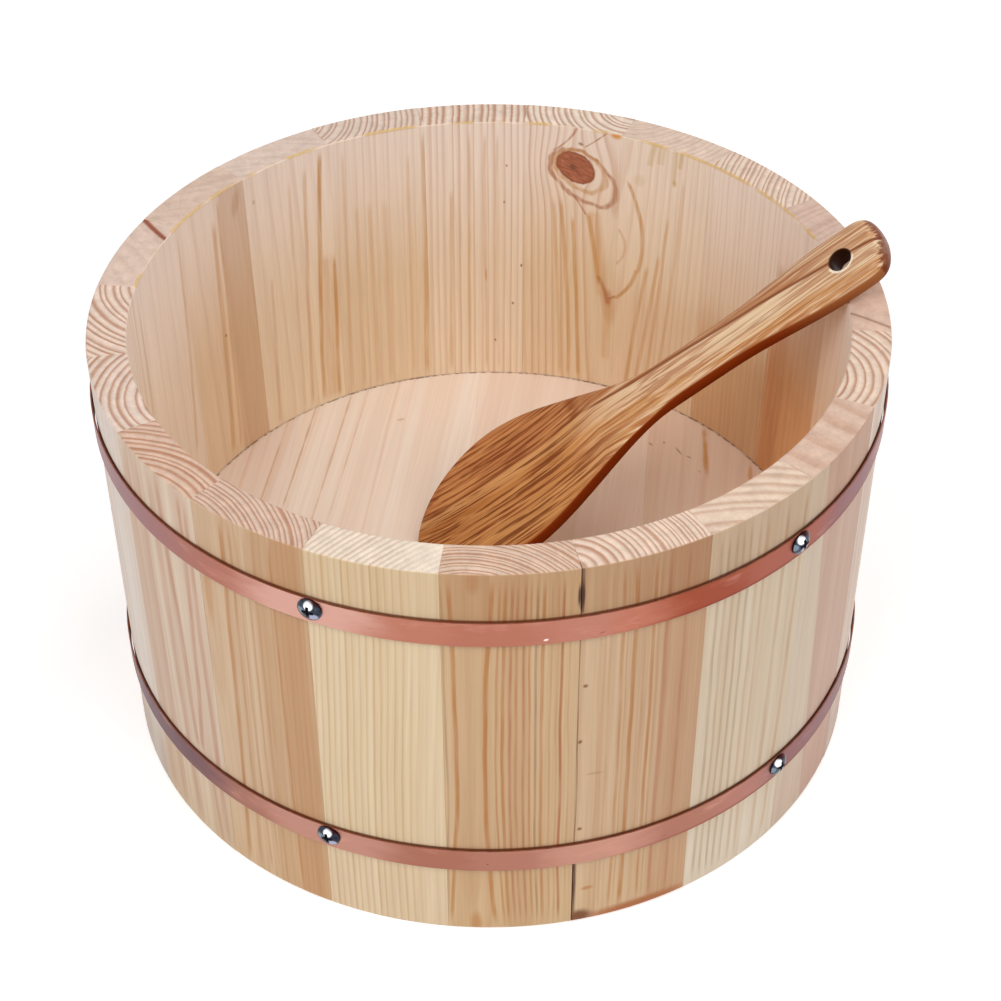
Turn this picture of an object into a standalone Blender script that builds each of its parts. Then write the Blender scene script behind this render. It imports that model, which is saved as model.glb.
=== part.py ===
# Sushi rice tub: twenty pine staves round a planked floor, two copper hoops held by
# pan-head screws, and a loose wooden rice paddle leaning on the rim.
# Metres, +Z up. The origin is on the tub's axis, at the surface it stands on. -Y is the front.

import math

import bmesh
import bpy
from mathutils import Matrix, Vector

# Staves
TUB_HEIGHT = 0.181
RIM_RADIUS = 0.150
BASE_RADIUS = 0.1478
RIM_WALL = 0.0149
BASE_WALL = 0.0173
STAVE_COUNT = 20
FIRST_JOINT_DEG = 11.8
STAVE_FACETS = 3
RIM_EASE = 0.0008
BASE_EASE = 0.0012

# Floor, let into a groove in the staves
FLOOR_RISE = 0.037
FLOOR_THICKNESS = 0.015
GROOVE_DEPTH = 0.005
PLANK_WIDTH = 0.0774
FIRST_SEAM_OFFSET = -0.0933
PLANK_TURN_DEG = 5.0
NARROWEST_PLANK = 0.020
FLOOR_SEGMENTS = 80

# Bamboo pegs across the stave joints
PEG_RADIUS = 0.002
PEG_LENGTH = 0.020
PEG_RISE = 0.100
PEG_SIDES = 8

# Hoops
HOOP_WIDTH = 0.0115
HOOP_THICKNESS = 0.0009
UPPER_HOOP_DROP = 0.0200
LOWER_HOOP_RISE = 0.0348
LAP_FACETS = 2
LAP_RAMP_SHARE = 0.75

# Screws
SCREWS_PER_HOOP = 5
FIRST_SCREW_DEG = -113.0
SCREW_STEP_DEG = 69.6
LAP_SCREW = 3
HEAD_RADIUS = 0.0040
HEAD_HEIGHT = 0.0024
HEAD_EDGE = 0.0005
SHANK_RADIUS = 0.0014
SCREW_LENGTH = 0.0115
POINT_LENGTH = 0.003
RECESS_WIDTH = 0.0010
RECESS_SPAN = 0.0042
RECESS_DEPTH = 0.0012
SCREW_SIDES = 12
DOME_STEPS = 4

# Paddle
PADDLE_LENGTH = 0.2306
BLADE_WIDTH = 0.0652
BLADE_TIP_LENGTH = 0.0456
SHOULDER_LENGTH = 0.0844
NECK_LENGTH = 0.0265
NECK_WIDTH = 0.0218
GRIP_TAPER_LENGTH = 0.0545
GRIP_WIDTH = 0.0305
END_ROUND = 0.011
END_FULLNESS = 2.5
BLADE_THICKNESS = 0.0051
TIP_THICKNESS = 0.0034
HANDLE_THICKNESS = 0.0088
BLADE_ROUNDNESS = 0.5
HANDLE_ROUNDNESS = 0.9
HOLE_RADIUS = 0.0048
HOLE_FROM_END = 0.0179
PADDLE_OVERHANG = 0.0237
PADDLE_HEADING_DEG = 2.74
PADDLE_ROLL_DEG = 13.1
PADDLE_SIDE_OFFSET = 0.0088
PADDLE_STATIONS = 30
PADDLE_SIDES = 16

# Clearances
JOINT_GAP = 0.0003
FLOOR_FIT = 0.0003
PEG_FIT = 0.0003
HOOP_FIT = 0.0003
SCREW_FIT = 0.0003
HEAD_SEAT = 0.0003
PADDLE_SEAT = 0.0003

MERGE = 0.00001
SMOOTH_ANGLE_DEG = 35.0
REST_STEPS = 8

STAVE_ANGLE = 2 * math.pi / STAVE_COUNT
FACET_ANGLE = STAVE_ANGLE / STAVE_FACETS
FIRST_JOINT = math.radians(FIRST_JOINT_DEG)
FLOOR_TOP = FLOOR_RISE + FLOOR_THICKNESS
UPPER_HOOP_RISE = TUB_HEIGHT - UPPER_HOOP_DROP - HOOP_WIDTH
NECK_START = BLADE_TIP_LENGTH + SHOULDER_LENGTH
NECK_END = NECK_START + NECK_LENGTH


def outer_radius(z):
    return BASE_RADIUS + (RIM_RADIUS - BASE_RADIUS) * z / TUB_HEIGHT


def wall(z):
    return BASE_WALL + (RIM_WALL - BASE_WALL) * z / TUB_HEIGHT


def inner_radius(z):
    return outer_radius(z) - wall(z)


def around(angle, radius, z):
    return Vector((radius * math.cos(angle), radius * math.sin(angle), z))


def radial_frame(angle, radius, z):
    """Local +Z points straight out of the tub, and local +X points up."""
    frame = Matrix.Rotation(angle, 4, "Z") @ Matrix.Rotation(math.pi / 2, 4, "Y")
    frame.translation = around(angle, radius, z)
    return frame


def make_material(name, colour, roughness, metallic=0.0):
    material = bpy.data.materials.new(name)
    material.use_nodes = True
    shader = material.node_tree.nodes["Principled BSDF"]
    shader.inputs["Base Color"].default_value = (*colour, 1.0)
    shader.inputs["Roughness"].default_value = roughness
    shader.inputs["Metallic"].default_value = metallic
    return material


def add_object(name, mesh, material=None):
    thing = bpy.data.objects.new(name, mesh)
    if material is not None and not mesh.materials:
        mesh.materials.append(material)
    bpy.context.collection.objects.link(thing)
    return thing


def finish_mesh(name, shape):
    """Turns a bmesh into a mesh with outward faces, smooth but for its sharp edges."""
    bmesh.ops.recalc_face_normals(shape, faces=shape.faces)
    mesh = bpy.data.meshes.new(name)
    shape.to_mesh(mesh)
    shape.free()
    mesh.shade_smooth()
    mesh.set_sharp_from_angle(angle=math.radians(SMOOTH_ANGLE_DEG))
    return mesh


def loft(name, rings):
    """A closed solid through rings of points, capped at both ends."""
    shape = bmesh.new()
    loops = [[shape.verts.new(point) for point in ring] for ring in rings]
    for near, far in zip(loops, loops[1:]):
        for i in range(len(near)):
            j = (i + 1) % len(near)
            shape.faces.new((near[i], near[j], far[j], far[i]))
    shape.faces.new(loops[0])
    shape.faces.new(loops[-1])
    return finish_mesh(name, shape)


def cylinder_mesh(name, radius, length, sides):
    shape = bmesh.new()
    bmesh.ops.create_cone(
        shape, cap_ends=True, segments=sides, radius1=radius, radius2=radius, depth=length
    )
    return finish_mesh(name, shape)


def add_cutter(name, mesh, frame):
    cutter = add_object(name, mesh)
    cutter.matrix_world = frame
    cutter.hide_render = True
    cutter.display_type = "WIRE"
    return cutter


def cut(target, cutter):
    modifier = target.modifiers.new("cut_" + cutter.name, "BOOLEAN")
    modifier.operation = "DIFFERENCE"
    modifier.solver = "EXACT"
    modifier.object = cutter


def stave_profile():
    """Upright section of a stave as (radius, height), with eased ends and the floor's groove."""
    groove_low = FLOOR_RISE - FLOOR_FIT
    groove_high = FLOOR_TOP + FLOOR_FIT
    return [
        (outer_radius(0) - BASE_EASE, 0),
        (outer_radius(BASE_EASE), BASE_EASE),
        (outer_radius(TUB_HEIGHT - RIM_EASE), TUB_HEIGHT - RIM_EASE),
        (outer_radius(TUB_HEIGHT) - RIM_EASE, TUB_HEIGHT),
        (inner_radius(TUB_HEIGHT) + RIM_EASE, TUB_HEIGHT),
        (inner_radius(TUB_HEIGHT - RIM_EASE), TUB_HEIGHT - RIM_EASE),
        (inner_radius(groove_high), groove_high),
        (inner_radius(groove_high) + GROOVE_DEPTH, groove_high),
        (inner_radius(groove_low) + GROOVE_DEPTH, groove_low),
        (inner_radius(groove_low), groove_low),
        (inner_radius(BASE_EASE), BASE_EASE),
        (inner_radius(0) + BASE_EASE, 0),
    ]


def build_staves(material):
    profile = stave_profile()
    half_gap = math.asin(JOINT_GAP / 2 / min(radius for radius, z in profile))
    staves = []
    for index in range(STAVE_COUNT):
        start = FIRST_JOINT + index * STAVE_ANGLE + half_gap
        step = (STAVE_ANGLE - 2 * half_gap) / STAVE_FACETS
        angles = [start + step * facet for facet in range(STAVE_FACETS + 1)]
        rings = [[around(angle, radius, z) for radius, z in profile] for angle in angles]
        name = f"stave_{index + 1:02d}"
        staves.append(add_object(name, loft(name, rings), material))
    return staves


def build_pegs(staves, material):
    """One blind peg across each stave joint, half in either stave."""
    radius = outer_radius(PEG_RISE) - wall(PEG_RISE) / 2
    peg_mesh = cylinder_mesh("stave_peg", PEG_RADIUS, PEG_LENGTH, PEG_SIDES)
    hole_mesh = cylinder_mesh(
        "peg_hole", PEG_RADIUS + PEG_FIT, PEG_LENGTH + 2 * PEG_FIT, PEG_SIDES
    )
    for index, stave in enumerate(staves):
        angle = FIRST_JOINT + index * STAVE_ANGLE
        frame = Matrix.Rotation(angle, 4, "Z") @ Matrix.Rotation(math.pi / 2, 4, "X")
        frame.translation = around(angle, radius, PEG_RISE)
        peg = add_object(f"stave_peg_{index + 1:02d}", peg_mesh, material)
        peg.matrix_world = frame
        hole = add_cutter(f"peg_hole_{index + 1:02d}", hole_mesh, frame)
        cut(stave, hole)
        cut(staves[index - 1], hole)


def floor_seams(radius):
    """Distances of the plank edges from the tub's axis, from one side of the floor to the other."""
    seams = [-radius]
    seam = FIRST_SEAM_OFFSET
    while seam < radius - NARROWEST_PLANK:
        if seam > seams[-1] + NARROWEST_PLANK:
            seams.append(seam)
        seam += PLANK_WIDTH
    return seams + [radius]


def build_floor(material):
    """Planks cut from one disc, whose edge stands in the staves' groove."""
    groove = min(
        inner_radius(FLOOR_RISE - FLOOR_FIT), inner_radius(FLOOR_TOP + FLOOR_FIT)
    )
    radius = (groove + GROOVE_DEPTH) * math.cos(FACET_ANGLE / 2) - FLOOR_FIT
    seams = floor_seams(radius)
    across = Matrix.Rotation(-math.radians(PLANK_TURN_DEG), 3, "Z") @ Vector((1, 0, 0))
    middle = Vector((0, 0, FLOOR_RISE + FLOOR_THICKNESS / 2))
    for index, (left, right) in enumerate(zip(seams, seams[1:])):
        shape = bmesh.new()
        bmesh.ops.create_cone(
            shape,
            cap_ends=True,
            segments=FLOOR_SEGMENTS,
            radius1=radius,
            radius2=radius,
            depth=FLOOR_THICKNESS,
            matrix=Matrix.Translation(middle),
        )
        for seam, side in ((left, -1), (right, 1)):
            if abs(seam) < radius:
                edge = seam - side * JOINT_GAP / 2
                slice_off(shape, across * edge + middle, across * side)
        name = f"floor_plank_{index + 1}"
        add_object(name, finish_mesh(name, shape), material)


def slice_off(shape, point, outward):
    """Cuts away what lies on the outward side of a plane and closes the cut."""
    found = bmesh.ops.bisect_plane(
        shape,
        geom=shape.verts[:] + shape.edges[:] + shape.faces[:],
        plane_co=point,
        plane_no=outward,
        clear_outer=True,
    )
    edges = [item for item in found["geom_cut"] if isinstance(item, bmesh.types.BMEdge)]
    bmesh.ops.contextual_create(shape, geom=edges)


def screw_angle(index):
    return math.radians(FIRST_SCREW_DEG + index * SCREW_STEP_DEG)


def lap_start():
    """Angle of the facet edge where a hoop's inner end lies, so that the lap sits under its screw."""
    half_lap = LAP_FACETS * FACET_ANGLE / 2
    return FIRST_JOINT + FACET_ANGLE * round(
        (screw_angle(LAP_SCREW) - half_lap - FIRST_JOINT) / FACET_ANGLE
    )


def build_hoop(name, rise, material):
    """A strip bent round the staves, whose outer end ramps up over its inner end."""
    start = lap_start()
    facets = STAVE_COUNT * STAVE_FACETS
    lift = HOOP_THICKNESS + HOOP_FIT
    path = [(start + FACET_ANGLE * facet, 0) for facet in range(facets)]
    path.append((path[-1][0] + LAP_RAMP_SHARE * FACET_ANGLE, lift))
    path += [(start + 2 * math.pi + FACET_ANGLE * facet, lift) for facet in range(LAP_FACETS + 1)]
    rings = []
    for angle, height in path:
        low = outer_radius(rise) + HOOP_FIT + height
        high = outer_radius(rise + HOOP_WIDTH) + HOOP_FIT + height
        rings.append([
            around(angle, low, rise),
            around(angle, low + HOOP_THICKNESS, rise),
            around(angle, high + HOOP_THICKNESS, rise + HOOP_WIDTH),
            around(angle, high, rise + HOOP_WIDTH),
        ])
    return add_object(name, loft(name, rings), material)


def screw_head_seat(index, z):
    """Distance of a screw head's underside from the tub's axis."""
    layers = 2 if index == LAP_SCREW else 1
    return outer_radius(z) + layers * (HOOP_FIT + HOOP_THICKNESS) + HEAD_SEAT


def screw_mesh():
    """A domed pan head with a cross recess, on a pointed shank. The head's underside is at z = 0."""
    turns = [math.pi / 2 * step / DOME_STEPS for step in range(DOME_STEPS + 1)]
    dome = HEAD_HEIGHT - HEAD_EDGE
    profile = [(HEAD_RADIUS * math.sin(t), HEAD_EDGE + dome * math.cos(t)) for t in turns]
    profile += [(HEAD_RADIUS, 0), (SHANK_RADIUS, 0)]
    profile += [(SHANK_RADIUS, POINT_LENGTH - SCREW_LENGTH), (0, -SCREW_LENGTH)]
    outline = bpy.data.meshes.new("screw_outline")
    points = [(radius, 0, z) for radius, z in profile]
    outline.from_pydata(points, [(i, i + 1) for i in range(len(points) - 1)], [])
    pattern = add_object("screw_pattern", outline)
    pattern.hide_render = True
    pattern.display_type = "WIRE"
    turned = pattern.modifiers.new("turned", "SCREW")
    turned.steps = SCREW_SIDES
    turned.render_steps = SCREW_SIDES
    turned.use_merge_vertices = True
    turned.merge_threshold = MERGE
    for turn in range(2):
        shape = bmesh.new()
        bmesh.ops.create_cube(shape, size=1.0)
        size = (RECESS_SPAN, RECESS_WIDTH, 2 * RECESS_DEPTH)
        bmesh.ops.scale(shape, vec=size, verts=shape.verts)
        slot = finish_mesh("recess_slot", shape)
        frame = Matrix.Translation((0, 0, HEAD_HEIGHT))
        frame @= Matrix.Rotation(math.pi / 2 * turn, 4, "Z")
        cut(pattern, add_cutter(f"recess_slot_{turn + 1}", slot, frame))
    graph = bpy.context.evaluated_depsgraph_get()
    mesh = bpy.data.meshes.new_from_object(pattern.evaluated_get(graph))
    mesh.shade_smooth()
    mesh.set_sharp_from_angle(angle=math.radians(SMOOTH_ANGLE_DEG))
    return mesh


def build_screws(hoop, rise, staves, shared_mesh, material):
    """Screws through a hoop into the staves, with a pilot hole for each."""
    z = rise + HOOP_WIDTH / 2
    hole_mesh = cylinder_mesh(
        "screw_hole", SHANK_RADIUS + SCREW_FIT, 2 * (SCREW_LENGTH + SCREW_FIT), SCREW_SIDES
    )
    if not shared_mesh.materials:
        shared_mesh.materials.append(material)
    for index in range(SCREWS_PER_HOOP):
        angle = screw_angle(index)
        frame = radial_frame(angle, screw_head_seat(index, z), z)
        screw = add_object(f"{hoop.name}_screw_{index + 1}", shared_mesh)
        screw.matrix_world = frame
        hole = add_cutter(f"{hoop.name}_screw_hole_{index + 1}", hole_mesh, frame)
        cut(hoop, hole)
        for stave in staves_near(angle, staves):
            cut(stave, hole)


def staves_near(angle, staves):
    """The staves that a screw's pilot hole at this angle reaches into."""
    reach = (SHANK_RADIUS + SCREW_FIT) / (RIM_RADIUS - RIM_WALL - SCREW_LENGTH)
    places = [(angle + side * reach - FIRST_JOINT) / STAVE_ANGLE for side in (-1, 1)]
    return [staves[index] for index in sorted({math.floor(p) % STAVE_COUNT for p in places})]


def blend(share):
    """Runs smoothly from 0 to 1."""
    share = min(max(share, 0.0), 1.0)
    return (1 - math.cos(math.pi * share)) / 2


def paddle_half_width(s):
    """Half the paddle's width at a distance s from its tip."""
    if s < BLADE_TIP_LENGTH:
        return BLADE_WIDTH / 2 * math.sqrt(1 - (1 - s / BLADE_TIP_LENGTH) ** 2)
    if s < NECK_START:
        share = blend((s - BLADE_TIP_LENGTH) / SHOULDER_LENGTH)
        return (BLADE_WIDTH + (NECK_WIDTH - BLADE_WIDTH) * share) / 2
    share = blend((s - NECK_END) / GRIP_TAPER_LENGTH)
    half = (NECK_WIDTH + (GRIP_WIDTH - NECK_WIDTH) * share) / 2
    rounded = max(0.0, (s - PADDLE_LENGTH + END_ROUND) / END_ROUND)
    return half * (1 - rounded ** END_FULLNESS) ** (1 / END_FULLNESS)


def handle_share(s):
    """How far the blade has become handle: 0 on the blade, 1 past the neck."""
    return blend((s - BLADE_TIP_LENGTH) / (NECK_END - BLADE_TIP_LENGTH))


def paddle_half_thickness(s):
    """Half the paddle's thickness at a distance s from its tip."""
    blade = TIP_THICKNESS + (BLADE_THICKNESS - TIP_THICKNESS) * blend(s / BLADE_TIP_LENGTH)
    half = (blade + (HANDLE_THICKNESS - blade) * handle_share(s)) / 2
    rounded = max(0.0, (s - PADDLE_LENGTH + END_ROUND / 2) / (END_ROUND / 2))
    return half * (1 - rounded ** 2 / 2)


def paddle_ring(s):
    """Section across the paddle: a flat oval on the blade, rounder on the handle."""
    roundness = BLADE_ROUNDNESS + (HANDLE_ROUNDNESS - BLADE_ROUNDNESS) * handle_share(s)
    ring = []
    for side in range(PADDLE_SIDES):
        turn = 2 * math.pi * (side + 0.5) / PADDLE_SIDES
        y = math.copysign(abs(math.cos(turn)) ** roundness, math.cos(turn))
        z = math.copysign(abs(math.sin(turn)) ** roundness, math.sin(turn))
        ring.append(Vector((s, y * paddle_half_width(s), z * paddle_half_thickness(s))))
    return ring


def paddle_stations():
    """Distances from the tip, close together where the ends are round."""
    turns = [math.pi * (step + 0.5) / PADDLE_STATIONS for step in range(PADDLE_STATIONS)]
    return [PADDLE_LENGTH * (1 - math.cos(turn)) / 2 for turn in turns]


def paddle_turn(tilt):
    """Local +X runs from the tip up the handle, and local +Z out of the upper face."""
    turn = Matrix.Rotation(math.radians(PADDLE_HEADING_DEG), 4, "Z")
    turn @= Matrix.Rotation(-tilt, 4, "Y")
    return turn @ Matrix.Rotation(math.radians(PADDLE_ROLL_DEG), 4, "X")


def paddle_frame(points):
    """Rests the tip on the floor and the handle on the rim's inner edge."""
    reach = PADDLE_LENGTH - PADDLE_OVERHANG
    roll = math.radians(PADDLE_ROLL_DEG)
    handle = paddle_ring(reach)
    seat = PADDLE_SEAT + max(p.z * math.cos(roll) + abs(p.y * math.sin(roll)) for p in handle)
    edge = math.sqrt(inner_radius(TUB_HEIGHT) ** 2 - PADDLE_SIDE_OFFSET ** 2)
    tilt = math.atan2(TUB_HEIGHT - FLOOR_TOP, reach)
    for _ in range(REST_STEPS):
        turn = paddle_turn(tilt)
        tip_height = FLOOR_TOP + PADDLE_SEAT - min((turn @ point).z for point in points)
        drop = TUB_HEIGHT - tip_height
        run = math.sqrt(reach ** 2 + seat ** 2 - drop ** 2)
        tilt = math.atan2(drop, run) + math.atan2(seat, reach)
    heading = Matrix.Rotation(math.radians(PADDLE_HEADING_DEG), 4, "Z")
    frame = paddle_turn(tilt)
    frame.translation = heading @ Vector((edge - run, PADDLE_SIDE_OFFSET, tip_height))
    return frame


def build_paddle(material):
    rings = [paddle_ring(s) for s in paddle_stations()]
    paddle = add_object("rice_paddle", loft("rice_paddle", rings), material)
    paddle.matrix_world = paddle_frame([point for ring in rings for point in ring])
    hole_mesh = cylinder_mesh("hanging_hole", HOLE_RADIUS, 2 * HANDLE_THICKNESS, PADDLE_SIDES)
    place = Matrix.Translation((PADDLE_LENGTH - HOLE_FROM_END, 0, 0))
    cut(paddle, add_cutter("hanging_hole", hole_mesh, paddle.matrix_world @ place))


def main():
    for thing in list(bpy.data.objects):
        bpy.data.objects.remove(thing)
    pine = make_material("pine", (0.66, 0.47, 0.28), 0.55)
    floor_pine = make_material("floor_pine", (0.70, 0.50, 0.36), 0.55)
    bamboo = make_material("bamboo", (0.62, 0.50, 0.26), 0.5)
    copper = make_material("copper", (0.62, 0.27, 0.20), 0.35, 1.0)
    steel = make_material("plated_steel", (0.72, 0.72, 0.74), 0.2, 1.0)
    hardwood = make_material("hardwood", (0.42, 0.19, 0.07), 0.4)

    staves = build_staves(pine)
    build_pegs(staves, bamboo)
    build_floor(floor_pine)
    shared_mesh = screw_mesh()
    for name, rise in (("upper_hoop", UPPER_HOOP_RISE), ("lower_hoop", LOWER_HOOP_RISE)):
        hoop = build_hoop(name, rise, copper)
        build_screws(hoop, rise, staves, shared_mesh, steel)
    build_paddle(hardwood)


main()
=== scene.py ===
import math
import random

import bpy
from mathutils import Euler, Matrix, Quaternion, Vector


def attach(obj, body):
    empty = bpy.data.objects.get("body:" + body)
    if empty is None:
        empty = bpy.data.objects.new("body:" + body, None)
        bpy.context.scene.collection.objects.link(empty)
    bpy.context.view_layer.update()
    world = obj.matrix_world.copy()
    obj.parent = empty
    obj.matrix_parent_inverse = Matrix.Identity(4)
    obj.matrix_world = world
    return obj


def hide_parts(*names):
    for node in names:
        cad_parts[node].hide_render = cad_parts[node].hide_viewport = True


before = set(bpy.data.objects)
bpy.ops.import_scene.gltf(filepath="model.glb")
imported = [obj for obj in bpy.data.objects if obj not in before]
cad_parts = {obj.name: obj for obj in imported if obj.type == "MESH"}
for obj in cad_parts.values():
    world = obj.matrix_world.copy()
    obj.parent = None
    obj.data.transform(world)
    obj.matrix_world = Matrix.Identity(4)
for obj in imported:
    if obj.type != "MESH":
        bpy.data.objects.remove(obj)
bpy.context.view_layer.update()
scene = bpy.context.scene
scene.view_settings.view_transform = "Standard"
print("frame loaded:", len(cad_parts), "nodes")


touching = 0.00001  # closer than this counts as touching
level = 0.000001  # heights closer than this count as the same
sameAngle = 0.0001  # degrees
toDegrees = 180 / math.pi


# selecting and finishing, used by every piece
def objectMode():
    bpy.ops.object.mode_set(mode="OBJECT")


def clearPick():
    if bpy.context.object and bpy.context.object.mode != "OBJECT":
        objectMode()
    bpy.ops.object.select_all(action="DESELECT")


def take(piece):
    clearPick()
    piece.select_set(True)
    bpy.context.view_layer.objects.active = piece


def pick(piece, kind, rule):
    take(piece)
    bpy.ops.object.mode_set(mode="EDIT")
    bpy.ops.mesh.select_mode(type=kind)
    bpy.ops.mesh.select_all(action="DESELECT")
    objectMode()
    mesh = piece.data
    for item in {"VERT": mesh.vertices, "EDGE": mesh.edges, "FACE": mesh.polygons}[kind]:
        item.select = rule(item)
    bpy.ops.object.mode_set(mode="EDIT")


def pickAll(piece):
    pick(piece, "FACE", lambda f: True)


def pickEdges(piece, rule):
    points = [v.co.copy() for v in piece.data.vertices]
    pick(piece, "EDGE", lambda e: rule(points[e.vertices[0]], points[e.vertices[1]]))


def pullOut(length):  # extrudes what is picked along X
    bpy.ops.mesh.extrude_region_move(TRANSFORM_OT_translate={"value": (length, 0, 0)})


def soften(size, segments):  # rounds the picked edges
    bpy.ops.mesh.bevel(offset=size, segments=segments, affect="EDGES")
    objectMode()


def settle(piece, angle):  # place into the mesh, one closed skin facing out
    take(piece)
    bpy.ops.object.transform_apply(location=True, rotation=True, scale=True)
    bpy.ops.object.mode_set(mode="EDIT")
    bpy.ops.mesh.select_all(action="SELECT")
    bpy.ops.mesh.remove_doubles(threshold=0.000002)
    bpy.ops.mesh.normals_make_consistent(inside=False)
    objectMode()
    bpy.ops.object.shade_smooth_by_angle(angle=math.radians(angle))


def cutAway(piece, cutter):
    take(piece)
    step = piece.modifiers.new("cut", "BOOLEAN")
    step.object = cutter
    step.solver = "EXACT"
    bpy.ops.object.modifier_apply(modifier=step.name)


def remove(piece):
    clearPick()
    piece.select_set(True)
    bpy.ops.object.delete()


def copyOf(piece, name):
    take(piece)
    bpy.ops.object.duplicate(linked=False)
    made = bpy.context.object
    made.name = name
    made.data.name = name
    return made


def polygon(points):  # an upright face from (radius, height) points
    clearPick()
    bpy.ops.mesh.primitive_circle_add(vertices=len(points), radius=0.05, fill_type="NGON")
    made = bpy.context.object
    for index, (x, z) in enumerate(points):
        start = made.data.vertices[index].co.copy()
        pick(made, "VERT", lambda v: v.index == index)
        bpy.ops.transform.translate(value=Vector((x, 0, z)) - start)
        objectMode()
    return made


def swingAround(angle, steps):  # spins what is picked round the tub's axis
    bpy.ops.mesh.spin(steps=steps, angle=-math.radians(angle), center=(0, 0, 0), axis=(0, 0, 1))


def outward(angle):
    return Vector((math.cos(math.radians(angle)), math.sin(math.radians(angle)), 0))


def angleOf(point):
    return math.degrees(math.atan2(point.y, point.x))


def radiusOf(point):
    return math.hypot(point.x, point.y)


# short ways to lay out a material's nodes
bench = {}  # the node tree that is being laid out


class Wire:  # what a node gives out, ready for sums
    def __init__(self, socket):
        self.socket = socket

    def __add__(self, other):
        return calc("ADD", self, other)

    def __sub__(self, other):
        return calc("SUBTRACT", self, other)

    def __rsub__(self, other):
        return calc("SUBTRACT", other, self)

    def __mul__(self, other):
        return calc("MULTIPLY", self, other)

    def __truediv__(self, other):
        return calc("DIVIDE", self, other)

    def __pow__(self, other):
        return calc("POWER", self, other)

    def __abs__(self):
        return calc("ABSOLUTE", self)


def linear(c):  # a screen value 0-255 as light
    return c / 255 / 12.92 if c <= 10 else ((c / 255 + 0.055) / 1.055) ** 2.4


def tint(colour):  # a screen colour or a stain's name, as the shader's own value
    shades = stains[colour] if isinstance(colour, str) else colour
    return tuple(linear(c) for c in shades) + (1.0,)


def startMaterial(name):
    material = bpy.data.materials.new(name)
    material.use_nodes = True
    bench["tree"] = material.node_tree
    return material, material.node_tree.nodes["Principled BSDF"]


def feed(node, key, value):
    if isinstance(value, Wire):
        bench["tree"].links.new(value.socket, node.inputs[key])
    else:
        node.inputs[key].default_value = value


def add(kind, gives, inputs, **settings):
    made = bench["tree"].nodes.new(kind)
    for key, value in settings.items():
        setattr(made, key, value)
    for key, value in inputs.items():
        feed(made, key, value)
    return Wire(made.outputs[gives])


def calc(operation, *values):
    return add("ShaderNodeMath", 0, dict(enumerate(values)), operation=operation)


def vec(operation, *values):
    gives = "Value" if operation in ("LENGTH", "DISTANCE", "DOT_PRODUCT") else "Vector"
    return add("ShaderNodeVectorMath", gives, dict(enumerate(values)), operation=operation)


def lengthOf(place, axes=None):
    return vec("LENGTH", vec("MULTIPLY", place, axes) if axes else place)


def split(place):
    made = add("ShaderNodeSeparateXYZ", 0, {"Vector": place})
    return [Wire(output) for output in made.socket.node.outputs]


def joined(x, y, z=0.0):
    return add("ShaderNodeCombineXYZ", 0, {"X": x, "Y": y, "Z": z})


def objectPlace():
    return add("ShaderNodeTexCoord", "Object", {})


def skinNormal():
    return add("ShaderNodeTexCoord", "Normal", {})


def placed(place, location, rotation, scale=(1, 1, 1)):
    inputs = {"Vector": place, "Location": location, "Rotation": rotation, "Scale": scale}
    return add("ShaderNodeMapping", 0, inputs, vector_type="TEXTURE")


def noise(place, stretch, detail=2.0, rough=0.5):
    inputs = {"Vector": vec("MULTIPLY", place, stretch), "Scale": 1.0, "Detail": detail, "Roughness": rough}
    return add("ShaderNodeTexNoise", "Fac", inputs)


def noiseAlong(value, scale):
    inputs = {"W": value, "Scale": scale, "Detail": 1.0}
    return add("ShaderNodeTexNoise", "Fac", inputs, noise_dimensions="1D")


def randomOf(value):
    return add("ShaderNodeTexWhiteNoise", "Value", {"W": value}, noise_dimensions="1D")


def remap(value, low, high, toLow=0.0, toHigh=1.0, way="SMOOTHSTEP"):
    inputs = {"Value": value, "From Min": low, "From Max": high, "To Min": toLow, "To Max": toHigh}
    return add("ShaderNodeMapRange", 0, inputs, interpolation_type=way)


def mixed(amount, first, second):
    first, second = [colour if isinstance(colour, Wire) else tint(colour) for colour in (first, second)]
    return add("ShaderNodeMix", 2, {0: amount, 6: first, 7: second}, data_type="RGBA")


def shaded(tone, shade):
    return add("ShaderNodeHueSaturation", 0, {"Color": tone, "Value": shade})


def curve(value, stops):
    made = add("ShaderNodeValToRGB", "Color", {"Fac": value})
    steps = made.socket.node.color_ramp.elements
    while len(steps) < len(stops):
        steps.new(0.5)
    for step, (place, height) in zip(steps, stops):
        step.position = place
        step.color = tint(height) if isinstance(height, tuple) else (height, height, height, 1.0)
    return made


def bumped(shader, height, strength=0.1, distance=0.0003):
    inputs = {"Height": height, "Strength": strength, "Distance": distance}
    feed(shader, "Normal", add("ShaderNodeBump", "Normal", inputs))


# staves: twenty upright boards that make the wall
stave = {
    "count": 20,
    "firstJoint": 11.8,  # degrees from +X
    "height": 0.181,
    "rimRadius": 0.150,
    "baseRadius": 0.1478,
    "rimWall": 0.0149,
    "baseWall": 0.0173,
    "grooveLow": 0.0367,
    "grooveHigh": 0.05215,
    "grooveDepth": 0.005,
    "middle": 0.1425,  # radius of the wall's middle at the rim
    "sideSplit": (139, 141),  # mm from the axis: nearer is the inside
    "bleached": (100, 184),  # mm up
    "fibreRough": (0.3, 0.7, 0.64, 0.5),  # fibre from, to, and how rough it is there
    "seedStep": 7.31,
    "jointGap": 0.00004,
    "steps": 12,
    "rimRound": 0.0006,
    "baseRound": 0.0011,
    "jointRound": 0.00007,
    "mostProud": 0.00007,
    "mostRise": 0.00018,
}
staveAngle = 360 / stave["count"]
wallTop = stave["height"] * 1000  # mm
perDegree = 2.487  # mm round the wall


def outerAt(z):
    return stave["baseRadius"] + (stave["rimRadius"] - stave["baseRadius"]) * z / stave["height"]


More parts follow.
